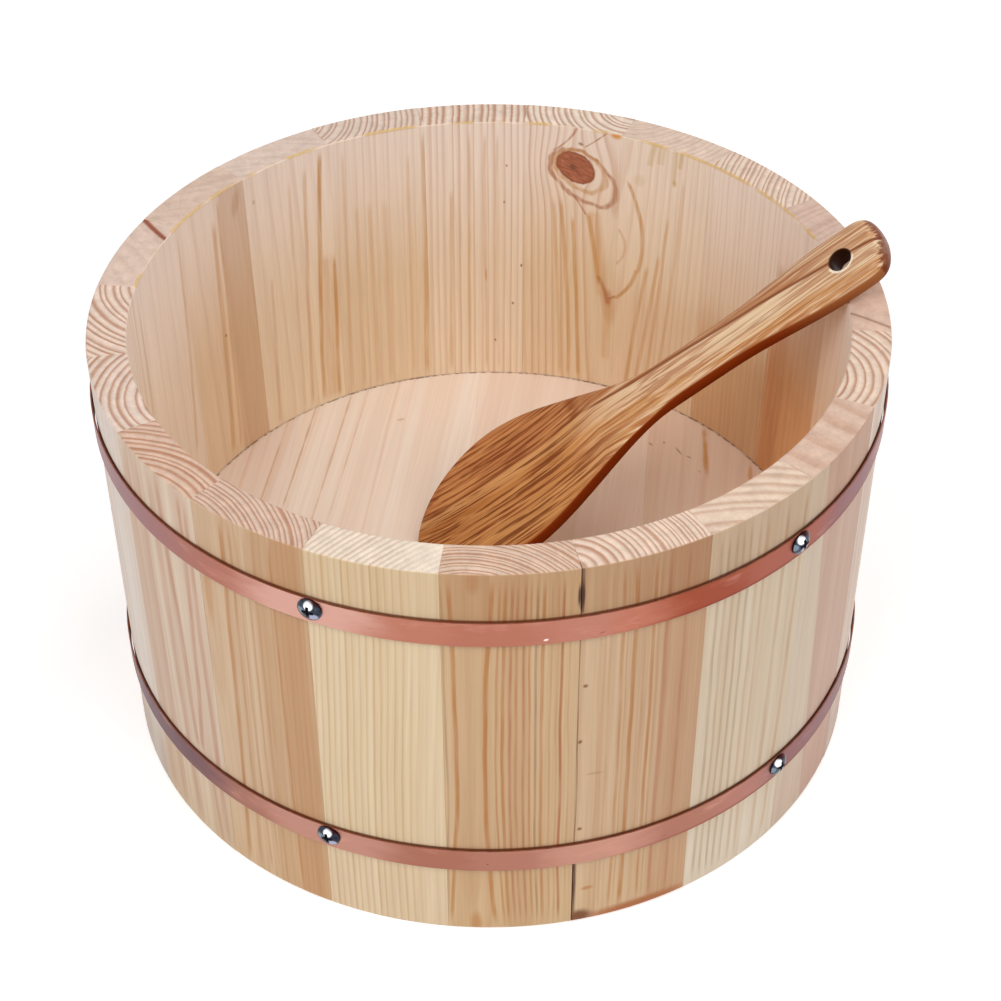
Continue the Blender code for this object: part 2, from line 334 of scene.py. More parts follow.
def innerAt(z):
    return outerAt(z) - stave["baseWall"] - (stave["rimWall"] - stave["baseWall"]) * z / stave["height"]


rimInside = innerAt(stave["height"]) * 1000  # mm


def staveMiddle(index):
    return stave["firstJoint"] + staveAngle * (index + 0.5)


def modelStave():
    top, low, high, deep = stave["height"], stave["grooveLow"], stave["grooveHigh"], stave["grooveDepth"]
    made = polygon([
        (outerAt(0), 0), (outerAt(top), top), (innerAt(top), top), (innerAt(high), high),
        (innerAt(high) + deep, high), (innerAt(low) + deep, low), (innerAt(low), low), (innerAt(0), 0)])
    gap = math.degrees(stave["jointGap"] / stave["middle"])
    pickAll(made)
    swingAround(staveAngle - gap, stave["steps"])
    objectMode()
    angles = [angleOf(v.co) for v in made.data.vertices]
    made.rotation_euler.z = -math.radians((min(angles) + max(angles)) / 2)
    settle(made, 30)
    half = (staveAngle - gap) / 2

    def along(a, b, z, radius):
        return all(abs(p.z - z) < touching and abs(radiusOf(p) - radius) < touching for p in (a, b))

    for z, radius, size in ((top, outerAt(top), "rimRound"), (top, innerAt(top), "rimRound"),
                            (0, outerAt(0), "baseRound"), (0, innerAt(0), "baseRound")):
        pickEdges(made, lambda a, b: along(a, b, z, radius))
        soften(stave[size], 3)
    pickEdges(made, lambda a, b: all(abs(abs(angleOf(p)) - half) < sameAngle for p in (a, b))
              and angleOf(a) * angleOf(b) > 0)
    soften(stave["jointRound"], 1)
    settle(made, 30)
    return made


hoopRises = (0.1495, 0.0348)
hoopWidth = 0.0105
insideTop = (252, 238, 228)  # painted light: the pale colour the inside's top is painted towards
rimLine = (166, 108, 72)  # rings on the rim
# stains that marks are painted with
stains = {
    "amber": (184, 122, 66),
    "tan": (192, 146, 102),
    "rust": (176, 108, 64),
    "mauve": (192, 140, 112),
    "brown": (126, 76, 44),
    "black": (70, 26, 8),
    "glue": (206, 176, 108),
    "resin": (222, 146, 48),
    "pale": (234, 214, 192),
    "gold": (214, 174, 96),
    "sap": (198, 142, 72),
    "ash": (196, 172, 142),
    "ashwood": (222, 203, 180),
    "honey": (202, 148, 82),
    # painted shade: the dark brown of the line above each hoop
    "grime": (122, 54, 24),
    "russet": (138, 62, 30),
}
# one board a stave, the inner face of those with inside and the outer face of the others as in the photo
# pith: where the tree's middle lay from the wall's middle (mm out, mm round), at: taken at this angle
# gap between rings (mm), even: how much it varies, wander: how far rings stray
# tighten: how rings crowd together outward, lean of the trunk (degrees)
# sweep: grain that drifts aside (mm up, mm), plain: degrees over which rings weaken
# grain and ends: how strong rings are on the faces and on the rim, bleach: how far the inside's top is
# painted paler, as painted light
# warm, foot and deep: the colour times this above the upper hoop, near the base and low on the inside; warm
# and deep are painted shade, and painted light where over one, and foot is painted shade where it darkens
# bands: (first edge at rim and base, last edge at rim and base, stain, strength), in degrees round the tub
# runs: lines of full height (degrees at rim, middle and base, half width in degrees, stain, strength)
# lines: the same for a part of the height, with mm up of their top and low end after the degrees
# loops: (degrees, mm up, half width and height in mm, turn, breadth of the line, stain, strength)
# spots: (degrees, mm up, half width in degrees, half height in mm, turn, stain, strength)
# cuts: lines on the rim (degrees at the outer and inner edge, half width, stain, strength)
boards = [
    {"pith": (30, -90), "gap": 4.0, "grain": 0.2, "ends": 0.3, "pale": (214, 168, 134),
     "dark": (184, 126, 88), "inside": (222, 174, 128), "rim": (206, 180, 166), "bleach": 0.85,
     # painted shadow of the paddle: this board's darker low inside and its wide reddish line at 27 degrees
     "deep": (1.06, 0.98, 0.88),
     "lines": [
         (29.3, 29.3, 29.3, 181, 52, 0.3, "pale", 0.35), (27.0, 27.0, 26.6, 158, 40, 3.4, "rust", 0.45)]},
    {"pith": (70, -109), "gap": 2.2, "grain": 0.3, "ends": 0.8, "pale": (228, 196, 168),
     # painted shadow of the paddle: this board's darker low inside
     "dark": (196, 148, 106), "inside": (230, 206, 176), "rim": (229, 210, 194), "deep": (0.86, 0.7, 0.55),
     "lines": [(47.3, 47.3, 47.3, 181, 52, 0.25, "pale", 0.5)]},
    {"at": 74.8, "pith": (13.4, -22.7), "gap": 2.7, "lean": (0.0, -0.4), "grain": 0.25, "ends": 0.28,
     "pale": (228, 194, 164), "dark": (194, 138, 92), "inside": (236, 216, 186), "rim": (220, 198, 182),
     "bleach": 0.58, "deep": (0.95, 0.88, 0.82),
     "lines": [
         (55.8, 57.2, 59.0, 150, 52, 0.39, "honey", 0.5), (53.2, 54.4, 57.0, 170, 52, 0.39, "honey", 0.35),
         (57.2, 59.0, 61.2, 130, 52, 0.42, "honey", 0.55), (59.4, 61.4, 62.8, 122, 52, 0.42, "honey", 0.55),
         (64.6, 61.0, 61.6, 161, 115, 0.44, "honey", 0.75),
         (61.7, 63.0, 66.0, 118, 99.5, 0.47, "honey", 0.8),
         (66.0, 64.3, 66.3, 136.5, 117, 0.34, "honey", 0.5), (54.0, 54.1, 54.3, 182, 173, 0.5, "glue", 0.5),
         (55.2, 55.2, 55.2, 182, 165, 0.35, "glue", 0.6), (57.7, 58.0, 58.2, 182, 172, 0.7, "glue", 0.45),
         (59.2, 59.9, 60.2, 182, 170, 0.6, "glue", 0.45)],
     "spots": [(55.1, 165.5, 0.6, 2.2, 0, "glue", 0.7), (62.0, 162.0, 1.6, 4.0, 30, "glue", 0.25)]},
    {"pith": (13.4, -22.7), "gap": 2.7, "lean": (0.0, -0.4), "grain": 0.5, "ends": 0.85,
     "pale": (228, 194, 166), "dark": (190, 130, 84), "inside": (227, 203, 168), "rim": (238, 222, 206),
     "knot": {"at": (74.2, 161.8), "push": 6.5, "reach": 15.0, "turn": 24, "size": (10.6, 7.8)},
     "lines": [
         (75.9, 73.6, 72.0, 151.5, 139, 0.26, "rust", 0.7),
         (71.8, 70.3, 69.0, 141, 104, 0.47, "honey", 0.75), (70.8, 69.6, 68.2, 143, 98, 1.3, "honey", 0.4),
         (69.4, 68.0, 67.2, 110, 96, 0.45, "rust", 0.7), (67.3, 67.2, 67.1, 100, 66, 0.91, "honey", 0.4),
         (63.5, 65.0, 67.4, 107, 98.5, 0.4, "rust", 0.7), (74.6, 73.5, 72.5, 139, 52, 0.39, "honey", 0.75),
         (77.2, 75.3, 74.7, 148, 52, 0.42, "honey", 0.65), (78.4, 77.1, 76.4, 147, 52, 0.36, "honey", 0.5),
         (74.2, 75.6, 78.7, 182, 168.5, 0.28, "rust", 0.7),
         (68.4, 70.4, 72.9, 181.5, 172, 0.24, "rust", 0.7)],
     "loops": [
         (72.8, 157.5, 17.0, 10.6, 32, 0.13, "rust", 0.75),
         (73.3, 160.3, 12.4, 8.6, 28, 0.17, "honey", 0.7)],
     "spots": [
         (73.5, 173.5, 0.7, 1.0, 20, "brown", 0.7), (67.0, 181.0, 1.5, 3.0, 0, "resin", 0.9),
         (67.2, 99.5, 1.2, 6.0, 0, "rust", 0.5)]},
    {"pith": (4, 140), "gap": 3.1, "grain": 0.55, "ends": 0.95, "pale": (229, 199, 174),
     "dark": (196, 144, 100), "inside": (236, 217, 190), "rim": (234, 215, 199),
     "lines": [
         (88.6, 88.6, 88.4, 178, 52, 0.33, "honey", 0.3), (90.9, 90.9, 90.8, 178, 52, 0.33, "honey", 0.4),
         (93.7, 93.9, 94.3, 178, 52, 0.33, "honey", 0.4), (97.0, 97.4, 97.8, 150, 52, 0.39, "honey", 0.45)],
     "spots": [
         (86.9, 160.0, 0.25, 1.0, 0, "brown", 0.6), (87.4, 142.0, 0.25, 0.9, 0, "brown", 0.7),
         (84.2, 110.0, 0.3, 1.1, 0, "brown", 0.8), (85.7, 90.0, 0.3, 1.0, 0, "brown", 0.75),
         (89.1, 70.0, 0.3, 1.0, 0, "brown", 0.7), (90.8, 105.0, 0.3, 5.0, 0, "amber", 0.5)]},
    {"pith": (14.7, 34.8), "gap": 2.4, "grain": 0.25, "ends": 0.8, "pale": (227, 194, 166),
     "dark": (198, 150, 108), "inside": (228, 205, 172), "rim": (226, 209, 196),
     "lines": [
         (102.0, 102.2, 102.7, 180, 52, 0.45, "honey", 0.6),
         (105.0, 105.1, 105.4, 170, 52, 0.39, "honey", 0.3),
         (109.6, 109.7, 109.8, 150, 52, 0.65, "honey", 0.25),
         (112.6, 112.6, 112.6, 150, 52, 0.52, "honey", 0.3),
         (115.0, 115.2, 115.6, 150, 52, 0.39, "honey", 0.3),
         (117.2, 117.6, 118.0, 178, 52, 0.39, "honey", 0.3)]},
    {"pith": (-80, 60), "gap": 5.0, "grain": 0.2, "ends": 0.16, "pale": (228, 195, 167),
     "dark": (198, 146, 104), "inside": (239, 220, 191), "rim": (220, 199, 186),
     "lines": [
         (121.4, 123.3, 124.5, 181, 52, 0.44, "honey", 0.85),
         (120.2, 120.5, 121.0, 127, 52, 0.39, "honey", 0.8),
         (121.4, 121.8, 122.6, 130, 52, 1.95, "honey", 0.35),
         (124.6, 126.0, 127.0, 176, 52, 0.39, "honey", 0.5),
         (128.2, 128.5, 128.8, 172, 52, 0.39, "honey", 0.3),
         (133.6, 134.2, 135.0, 130, 52, 0.39, "honey", 0.35)],
     "spots": [(136.0, 168.0, 0.5, 1.5, 0, "ash", 0.6)]},
    {"pith": (70, -60), "gap": 5.5, "grain": 0.18, "ends": 0.16, "pale": (224, 189, 161),
     "dark": (192, 142, 104), "inside": (234, 208, 175), "rim": (215, 190, 174),
     "bands": [((136.0, 136.0), (143.9, 145.0), "tan", 0.42)],
     "lines": [
         (144.3, 144.6, 145.5, 181, 52, 0.39, "honey", 0.55),
         (145.9, 146.4, 147.9, 172, 52, 0.65, "honey", 0.6)],
     "spots": [(140.1, 172.0, 1.2, 8.0, 15, "rust", 0.3), (146.0, 114.5, 0.35, 1.0, 0, "brown", 0.7)]},
    {"pith": (60, 70), "gap": 6.0, "grain": 0.14, "ends": 0.15, "pale": (226, 192, 168),
     "dark": (198, 150, 116), "inside": (240, 222, 200), "rim": (218, 194, 180),
     "lines": [(155.6, 156.9, 158.9, 180, 72, 0.45, "honey", 0.5)],
     "cuts": [(155.9, 159.6, 0.85, "russet", 0.95)]},
    {"pith": (-27.6, -21.9), "gap": 2.9, "grain": 0.4, "ends": 0.9, "pale": (228, 199, 180),
     "dark": (188, 138, 108), "rim": (234, 212, 196)},
    {"pith": (-29.2, 12.3), "gap": 3.0, "grain": 0.35, "ends": 0.9, "pale": (234, 220, 208),
     "dark": (202, 162, 136), "rim": (226, 204, 189), "foot": (0.8, 0.77, 0.73)},
    {"pith": (38.6, 18.1), "gap": 2.6, "grain": 0.22, "ends": 0.9, "pale": (226, 205, 182),
     "dark": (180, 122, 90), "rim": (214, 182, 162), "foot": (0.96, 0.93, 0.83),
     "runs": [
         (-141.6, -141.2, -140.4, 0.68, "mauve", 0.45), (-133.6, -133.9, -133.4, 0.49, "mauve", 0.65),
         (-144.9, -144.8, -144.6, 0.81, "mauve", 0.4), (-148.6, -148.5, -148.2, 1.08, "mauve", 0.35)],
     "lines": [
         (-139.9, -138.9, -138.3, 181, 44, 0.57, "mauve", 0.69),
         (-135.0, -135.6, -137.4, 181, 44, 0.49, "mauve", 0.75),
         (-135.6, -135.4, -135.0, 34, 0, 0.41, "mauve", 0.5)]},
    {"pith": (40.8, -25.1), "gap": 1.75, "grain": 0.4, "ends": 0.95, "pale": (216, 185, 152),
     "dark": (184, 132, 90), "rim": (213, 189, 174), "topLighting": (0.95, 0.93, 0.91), "foot": (1.04, 1.05, 1),
     "bands": [
         ((-122.5, -122.5), (-113.0, -113.0), "tan", 0.38), ((-119.2, -119.2), (-114.8, -114.8),
         "amber", 0.34)],
     "runs": [
         (-127.1, -127.9, -128.9, 0.36, "amber", 0.81), (-125.6, -126.2, -126.6, 0.28, "tan", 0.78),
         (-124.4, -124.9, -124.6, 0.24, "tan", 0.65), (-123.2, -123.4, -123.2, 0.2, "tan", 0.59),
         (-122.0, -122.1, -121.8, 0.2, "tan", 0.52), (-119.3, -119.3, -119.0, 0.22, "amber", 0.65)],
     "spots": [(-130.8, 142.0, 1.1, 24.0, 0, "amber", 0.42)]},
    {"pith": (72, 108), "gap": 2.2, "even": 0.2, "wander": 0.0012,
     "sweep": ((0, 0.0), (50, 0.0), (80, 0.9), (110, 2.4), (145, 3.9), (181, 4.2)), "grain": 0.8,
     "ends": 0.5, "plain": (1.5, 7.0), "pale": (230, 208, 174), "dark": (202, 164, 116),
     "rim": (232, 218, 202), "topLighting": (0.92, 0.88, 0.84), "foot": (1.01, 1.01, 1.04)},
    {"pith": (31.8, -16.2), "gap": 1.6, "lean": (0.0, 0.25), "grain": 0.2, "ends": 0.95,
     "pale": (211, 179, 140), "dark": (178, 118, 76), "rim": (219, 194, 176), "topLighting": (0.84, 0.76, 0.69),
     "foot": (1.06, 1.09, 1.07),
     "bands": [((-94.6, -95.2), (-89.6, -90.0), "tan", 0.16)],
     "runs": [
         (-95.1, -94.5, -95.8, 0.3, "amber", 0.95), (-96.0, -95.8, -96.2, 0.16, "brown", 0.35),
         (-89.3, -90.7, -89.2, 0.32, "amber", 0.95), (-88.4, -89.2, -88.0, 0.18, "amber", 0.7),
         (-87.7, -88.3, -87.3, 0.26, "amber", 0.87), (-86.9, -87.3, -86.5, 0.22, "rust", 0.7),
         (-86.2, -86.5, -85.7, 0.2, "amber", 0.7), (-85.2, -85.5, -84.9, 0.2, "rust", 0.7),
         (-84.5, -84.7, -84.0, 0.16, "amber", 0.7), (-83.7, -83.9, -83.3, 0.18, "brown", 0.5),
         (-82.9, -83.1, -82.5, 0.24, "amber", 0.77), (-81.8, -82.0, -81.6, 0.18, "tan", 0.7),
         (-81.0, -81.1, -80.9, 0.16, "tan", 0.7), (-80.3, -80.5, -80.2, 0.22, "rust", 0.91),
         (-79.3, -79.4, -79.2, 0.16, "tan", 0.56)],
     "spots": [
         (-78.3, 169.0, 0.3, 7.0, 0, "black", 0.9), (-92.1, 3.0, 1.2, 10.0, 0, "amber", 0.6),
         (-92.0, 178.0, 1.3, 8.0, 0, "amber", 0.4)]},
    {"pith": (5.3, -27.4), "gap": 2.7, "tighten": 1.6, "grain": 0.25, "ends": 0.85, "pale": (214, 183, 148),
     "dark": (178, 126, 88), "rim": (232, 210, 193), "topLighting": (0.8, 0.7, 0.61), "foot": (1.08, 1.1, 1.07),
     "bands": [((-66.4, -66.8), (-58.0, -58.0), "rust", 0.36)],
     "runs": [
         (-75.4, -75.3, -75.6, 0.2, "tan", 0.42), (-74.0, -74.0, -74.2, 0.2, "tan", 0.49),
         (-72.5, -72.3, -72.6, 0.26, "amber", 0.63), (-71.8, -71.7, -72.0, 0.16, "tan", 0.7),
         (-70.7, -70.7, -71.0, 0.34, "amber", 0.87), (-69.3, -69.2, -69.5, 0.2, "tan", 0.56),
         (-68.1, -68.0, -68.4, 0.26, "amber", 0.77), (-67.3, -67.3, -67.6, 0.2, "tan", 0.7),
         (-66.1, -66.1, -66.4, 0.3, "rust", 0.49), (-63.4, -63.4, -63.6, 0.25, "rust", 0.42)],
     "lines": [
         (-78.1, -78.1, -78.1, 182, -1, 0.12, "brown", 0.75),
         (-78.1, -78.0, -78.1, 184, 160, 0.34, "black", 0.95),
         (-78.1, -78.1, -78.1, 36, -4, 0.42, "black", 0.95)],
     "spots": [
         (-77.1, 126.0, 0.5, 1.2, -25, "brown", 0.85), (-77.7, 98.5, 0.4, 1.4, -20, "brown", 0.9),
         (-77.4, 52.5, 0.5, 1.2, -25, "brown", 0.85), (-75.6, 81.0, 2.0, 0.9, -3, "amber", 0.4),
         (-75.9, 18.5, 1.3, 1.5, 4, "amber", 0.75), (-68.0, 1.5, 12.0, 4.6, 0, "rust", 1.0),
         (-77.0, 3.0, 2.4, 5.0, 0, "brown", 1.0), (-78.0, 169.0, 0.5, 8.0, 0, "black", 0.95)]},
    {"pith": (64, -48), "gap": 4.5, "grain": 0.3, "ends": 0.5, "pale": (227, 208, 183),
     "dark": (204, 172, 136), "rim": (224, 199, 178), "topLighting": (0.83, 0.74, 0.67), "foot": (1.07, 1.13, 1.2),
     "runs": [
         (-58.6, -58.4, -58.6, 0.3, "ash", 0.95), (-57.3, -57.2, -57.4, 0.25, "ash", 0.95),
         (-56.1, -56.0, -56.2, 0.25, "ash", 0.95), (-54.9, -54.8, -55.0, 0.25, "ash", 0.95),
         (-53.7, -53.5, -53.7, 0.25, "ash", 0.95), (-52.1, -52.0, -52.2, 0.3, "tan", 0.41),
         (-50.6, -50.6, -50.8, 0.35, "tan", 0.41), (-46.9, -46.9, -47.2, 0.4, "tan", 0.47),
         (-43.0, -43.6, -44.9, 0.4, "tan", 0.53)]},
    {"pith": (15, 130), "gap": 12, "grain": 0.2, "ends": 0.45, "pale": (214, 180, 160),
     "dark": (190, 148, 126), "rim": (214, 184, 164), "topLighting": (0.92, 0.84, 0.78),
     "foot": (0.95, 0.89, 0.87),
     "bands": [((-46.0, -46.0), (-38.4, -34.0), "ashwood", 0.94)]},
    {"pith": (-26.1, -11.8), "gap": 3.2, "grain": 0.3, "ends": 0.95, "pale": (232, 214, 200),
     "dark": (192, 142, 110), "rim": (226, 203, 183), "topLighting": (1.03, 1.05, 1.05), "foot": (0.86, 0.8, 0.8)},
    {"pith": (60, 80), "gap": 7.0, "grain": 0.15, "ends": 0.15, "pale": (220, 180, 152),
     "dark": (200, 154, 124), "inside": (246, 213, 180), "rim": (212, 182, 164),
     "cuts": [(-5.2, -1.8, 0.5, "brown", 0.6)]},
]


# the wall laid flat: degrees from the stave's middle, mm up, and masks of its sides
def sheetOf(here, angle, inside):
    turned = placed(here, (0, 0, 0), (0, 0, math.radians(angle)))
    x, y, z = split(turned)
    swing = calc("ARCTAN2", y, x) * toDegrees
    height = z * 1000
    radius = lengthOf(turned, (1, 1, 0)) * 1000
    rim = remap(split(skinNormal())[2], 0.45, 0.9)
    upright = 1.0 - rim
    inner = remap(radius, *stave["sideSplit"], 1.0, 0.0) * upright
    outer = remap(radius, *stave["sideSplit"]) * upright
    sway = noise(joined(swing * perDegree, height), (0.06, 0.02, 1), 1.0) - 0.5
    swing = sway * 0.7 + swing
    flat = joined(swing * perDegree, height)
    fade = remap(noise(flat, (0.5, 0.035, 1)), 0.3, 0.65, 0.55, 1.0)
    return {"swing": swing, "height": height, "radius": radius, "rim": rim, "in": inner, "out": outer,
            "face": inner if inside else outer, "flat": flat, "fade": fade}


def onSheet(sheet, middle, mark, turn, size):
    place = ((mark[0] - middle) * perDegree, mark[1], 0)
    return placed(sheet["flat"], place, (0, 0, math.radians(turn)), (size[0], size[1], 1))


def paintRun(sheet, tone, middle, run):
    return paintLine(sheet, tone, middle, run[:3] + (wallTop, 0) + run[3:])


def paintLine(sheet, tone, middle, line):
    top, centre, low, high, base, width, stain, much = line
    top, centre, low = top - middle, centre - middle, low - middle
    half = (high - base) / 2
    along = (sheet["height"] - (high + base) / 2) / half
    bend = along * ((top + low) / 2 - centre) + (top - low) / 2
    path = bend * along + centre
    off = abs(sheet["swing"] - path)
    mask = remap(off, width * 0.45, width * 1.35, much, 0.0) * sheet["face"]
    ends = remap(abs(along), 0.86, 1.0, 1.0, 0.0) * sheet["fade"]
    return mixed(mask * ends, tone, stain)


def paintSpot(sheet, tone, middle, spot):
    swing, height, wide, tall, turn, stain, much = spot
    at = onSheet(sheet, middle, (swing, height), turn, (wide * perDegree, tall))
    mask = remap(lengthOf(at), 0.3, 1.0, much, 0.0) * sheet["face"]
    return mixed(mask, tone, stain)


def paintLoop(sheet, tone, middle, loop):
    swing, height, wide, tall, turn, width, stain, much = loop
    at = onSheet(sheet, middle, (swing, height), turn, (wide, tall))
    rough = noise(sheet["flat"], (0.14, 0.14, 1), 1.0) * 0.3 - 1.15
    off = abs(lengthOf(at) + rough)
    mask = remap(off, width * 0.2, width, much, 0.0) * sheet["face"]
    return mixed(mask * sheet["fade"], tone, stain)


def paintBand(sheet, tone, middle, band):
    (firstTop, firstLow), (lastTop, lastLow), stain, much = band
    first = sheet["height"] * ((firstTop - firstLow) / wallTop) + (firstLow - middle)
    last = sheet["height"] * ((lastTop - lastLow) / wallTop) + (lastLow - middle)
    after = remap(sheet["swing"] - first, -0.35, 0.35)
    before = remap(last - sheet["swing"], -0.35, 0.35, 0.0, much)
    mask = after * before * (1.0 - sheet["rim"])
    return mixed(mask, tone, stain)


def paintCut(sheet, tone, middle, cut):
    outer, inner, width, stain, much = cut
    slope = (outer - inner) / (stave["rimRadius"] * 1000 - rimInside)
    path = sheet["radius"] * slope + (inner - middle - slope * rimInside)
    off = abs(sheet["swing"] - path)
    mask = remap(off, width * 0.2, width, much, 0.0) * sheet["rim"]
    return mixed(mask, tone, stain)


def paintKnot(sheet, tone, middle, knot):
    at = onSheet(sheet, middle, knot["at"], knot["turn"], knot["size"])
    reach = noise(at, (2.4, 1.2, 1)) * 0.22 + lengthOf(at)
    fleck = noise(at, (2.2, 9, 1), 3.0, 0.6)
    core = curve(fleck, [(0.34, (146, 84, 62)), (0.5, (172, 104, 78)), (0.66, (190, 124, 96))])
    heart = remap(vec("DISTANCE", at, (0.12, -0.06, 0)), 0.02, 0.3, 0.75, 0.0)
    core = mixed(heart, core, (108, 70, 56))
    core = mixed(remap(reach, 0.8, 1.0, 0.0, 0.5), core, (142, 82, 52))
    mask = remap(reach, 0.97, 1.06, 1.0, 0.0) * sheet["in"]
    return mixed(mask, tone, core)


def pushAside(trunk, pith, angle, knot):  # rings run round a knot
    swing, height = knot["at"]
    spot = outward(swing) * innerAt(height / 1000) + Vector((0, 0, height / 1000))
    local = Matrix.Rotation(-math.radians(angle), 3, "Z") @ (spot - pith)
    away = vec("MULTIPLY", vec("SUBTRACT", trunk, local), (0, 1, 1))
    far = lengthOf(away) + 0.0005
    share = (far / (knot["reach"] / 1000)) ** 2.0
    push = calc("EXPONENT", share * -1.0) * (knot["push"] / 1000) / far
    return vec("SUBTRACT", trunk, vec("MULTIPLY", away, joined(push, push, push)))


def finishWood(shader, tone, shade, fibre, rough):
    feed(shader, "Base Color", shaded(tone, shade))
    feed(shader, "Roughness", remap(fibre, *rough, "LINEAR"))
    feed(shader, "Specular IOR Level", 0.3)
    bumped(shader, fibre)


unseenGrain = 0.5  # outside of the boards that the photo shows from inside
unseenInside = (232, 212, 182)
# where a board says nothing else
usual = {"wander": 0.0022, "even": 1.0, "bleach": 0.8, "lean": (0.0, 0.0)}
stretches = {"topLighting": (159, 162), "foot": (50, 12), "deep": (124, 92)}  # mm up where each starts and is full
# painters of a board's marks, in the order in which they work
painters = {"runs": paintRun, "lines": paintLine, "loops": paintLoop, "spots": paintSpot, "cuts": paintCut}


def pineMaterial(index, board):
    material, shader = startMaterial(f"pineBoard{index + 1:02d}")
    board = {**usual, **board}
    here = objectPlace()
    middle = (staveMiddle(index) + 180) % 360 - 180
    angle = board.get("at", middle)
    out, side = outward(angle), outward(angle + 90)
    pith = out * (stave["middle"] + board["pith"][0] / 1000) + side * board["pith"][1] / 1000
    pith.z = stave["height"]
    lean = [math.radians(turn) for turn in board["lean"]]
    trunk = placed(here, pith, (lean[0], lean[1], math.radians(angle)))
    if "knot" in board:
        trunk = pushAside(trunk, pith, angle, board["knot"])
    sheet = sheetOf(here, middle, "inside" in board)
    if "sweep" in board:  # grain that drifts sideways, mm at each height
        drift = curve(sheet["height"] / wallTop, [(z / wallTop, shift / 10) for z, shift in board["sweep"]])
        trunk = vec("ADD", trunk, joined(0, drift * -0.01))
    gap = board["gap"] / 1000
    seed = stave["seedStep"] * (index + 1 if "at" in board else index)  # with at, from the next one's tree
    wander = noise(vec("ADD", trunk, (seed, 0, 0)), (26, 26, 5), 1.0)
    ripple = noise(trunk, (160, 160, 18))
    reach = (wander - 0.5) * board["wander"] + lengthOf(trunk, (1, 1, 0))
    reach = (ripple - 0.5) * 0.0006 + reach
    if "tighten" in board:  # rings that crowd together away from the pith
        power = board["tighten"]
        rings = (reach / 0.02) ** power * (0.02 / power / gap)
    else:
        rings = reach / gap
    rings = noiseAlong(rings + seed, 0.55) * board["even"] + rings
    phase = calc("FRACT", rings)
    late = curve(phase, [(0.0, 0.1), (0.3, 0.0), (0.62, 0.28), (0.84, 1.0), (0.93, 0.85), (1.0, 0.1)])
    weight = randomOf(calc("FLOOR", rings))
    weight = calc("MAXIMUM", remap(weight, 0.0, 1.0, 0.5, 1.0, "LINEAR"), sheet["rim"] * 0.8)
    bold = curve(phase, [(0.0, 0.3), (0.22, 0.0), (0.5, 0.25), (0.74, 0.95), (0.9, 1.0), (1.0, 0.3)])
    late = mixed(sheet["rim"], late, bold)
    strength = sheet["rim"] * (board["ends"] - board["grain"]) + board["grain"]
    if "inside" in board:
        strength = sheet["out"] * (unseenGrain - board["grain"]) + strength
    lines = late * weight * strength
    if "plain" in board:
        lines = lines * remap(sheet["swing"], *board["plain"], 1.0, 0.35)
    fibre = noise(trunk, (1500, 1500, 22))
    streak = noise(vec("ADD", trunk, (0, seed, 0)), (150, 150, 2.6))
    tone = mixed(remap(streak, 0.3, 0.7, 0.0, 0.3), board["pale"], board["dark"])
    tone = mixed(sheet["in"] * 0.88, tone, board.get("inside", unseenInside))
    # painted light: the inside is painted paler towards its top
    upper = remap(sheet["height"], *stave["bleached"], 0.0, board["bleach"]) * sheet["in"]
    tone = mixed(upper, tone, insideTop)
    tone = mixed(sheet["rim"] * 0.85, tone, board["rim"])
    for band in board.get("bands", ()):
        tone = paintBand(sheet, tone, middle, band)
    tone = mixed(lines, tone, mixed(sheet["rim"], board["dark"], rimLine))
    for key, paint in painters.items():
        for mark in board.get(key, ()):
            tone = paint(sheet, tone, middle, mark)
    if "knot" in board:
        tone = paintKnot(sheet, tone, middle, board["knot"])
    for key, heights in stretches.items():  # darker or paler by height: painted shade and light above the hoop and low inside, painted shade at a darker foot
        if key in board:
            mask = remap(sheet["height"], *heights) * sheet["in" if key == "deep" else "out"]
            tone = mixed(mask, tone, vec("MULTIPLY", tone, board[key]))
    if 10 < middle < 170:  # a broken thread of old glue along the inner edge of the back rim
        edge = abs(sheet["radius"] - (rimInside + 0.3))
        thread = remap(edge, 0.2, 1.0, 0.7, 0.0) * remap(sheet["height"], 179.9, 180.6)
        thread = thread * remap(noise(here, (70, 70, 70)), 0.38, 0.56)
        tone = mixed(thread, tone, "gold")
    for rise in hoopRises:  # painted shade: a dark brown line above each hoop and behind its edge, where the gap lies in shadow
        over = sheet["height"] - (rise + hoopWidth) * 1000
        hoopShadow = remap(over, 0.1, 0.9, 0.85, 0.0) * remap(over, -3.0, -2.0)
        tone = mixed(hoopShadow * sheet["out"], tone, "grime")
    shade = remap(fibre, 0.25, 0.75, 0.94, 1.05, "LINEAR")
    mottle = remap(noise(here, (240, 240, 240), 3.0, 0.65), 0.3, 0.7, -0.12, 0.1, "LINEAR")
    finishWood(shader, tone, shade * (sheet["rim"] * mottle + 1.0), fibre, stave["fibreRough"])
    return material


crack = {"staves": (14, 15), "angle": -78.2, "depth": 0.006, "taper": 0.3,
         "runs": ((-0.002, 0.0338, 0.0009), (0.1622, 0.1835, 0.0005))}


def cutCrack(piece):  # the one joint that has opened, above and below the hoops
    for low, high, width in crack["runs"]:
        clearPick()
        place = outward(crack["angle"]) * stave["rimRadius"] + Vector((0, 0, (low + high) / 2))
        bpy.ops.mesh.primitive_cube_add(size=1, scale=(crack["depth"], width, high - low), location=place,
                                        rotation=(0, 0, math.radians(crack["angle"])))
        wedge = bpy.context.object
        pick(wedge, "FACE", lambda f: f.normal.x < -0.9)
        bpy.ops.transform.resize(value=(crack["taper"], crack["taper"], 1),
                                 constraint_axis=(True, True, False))
        objectMode()
        cutAway(piece, wedge)
        remove(wedge)


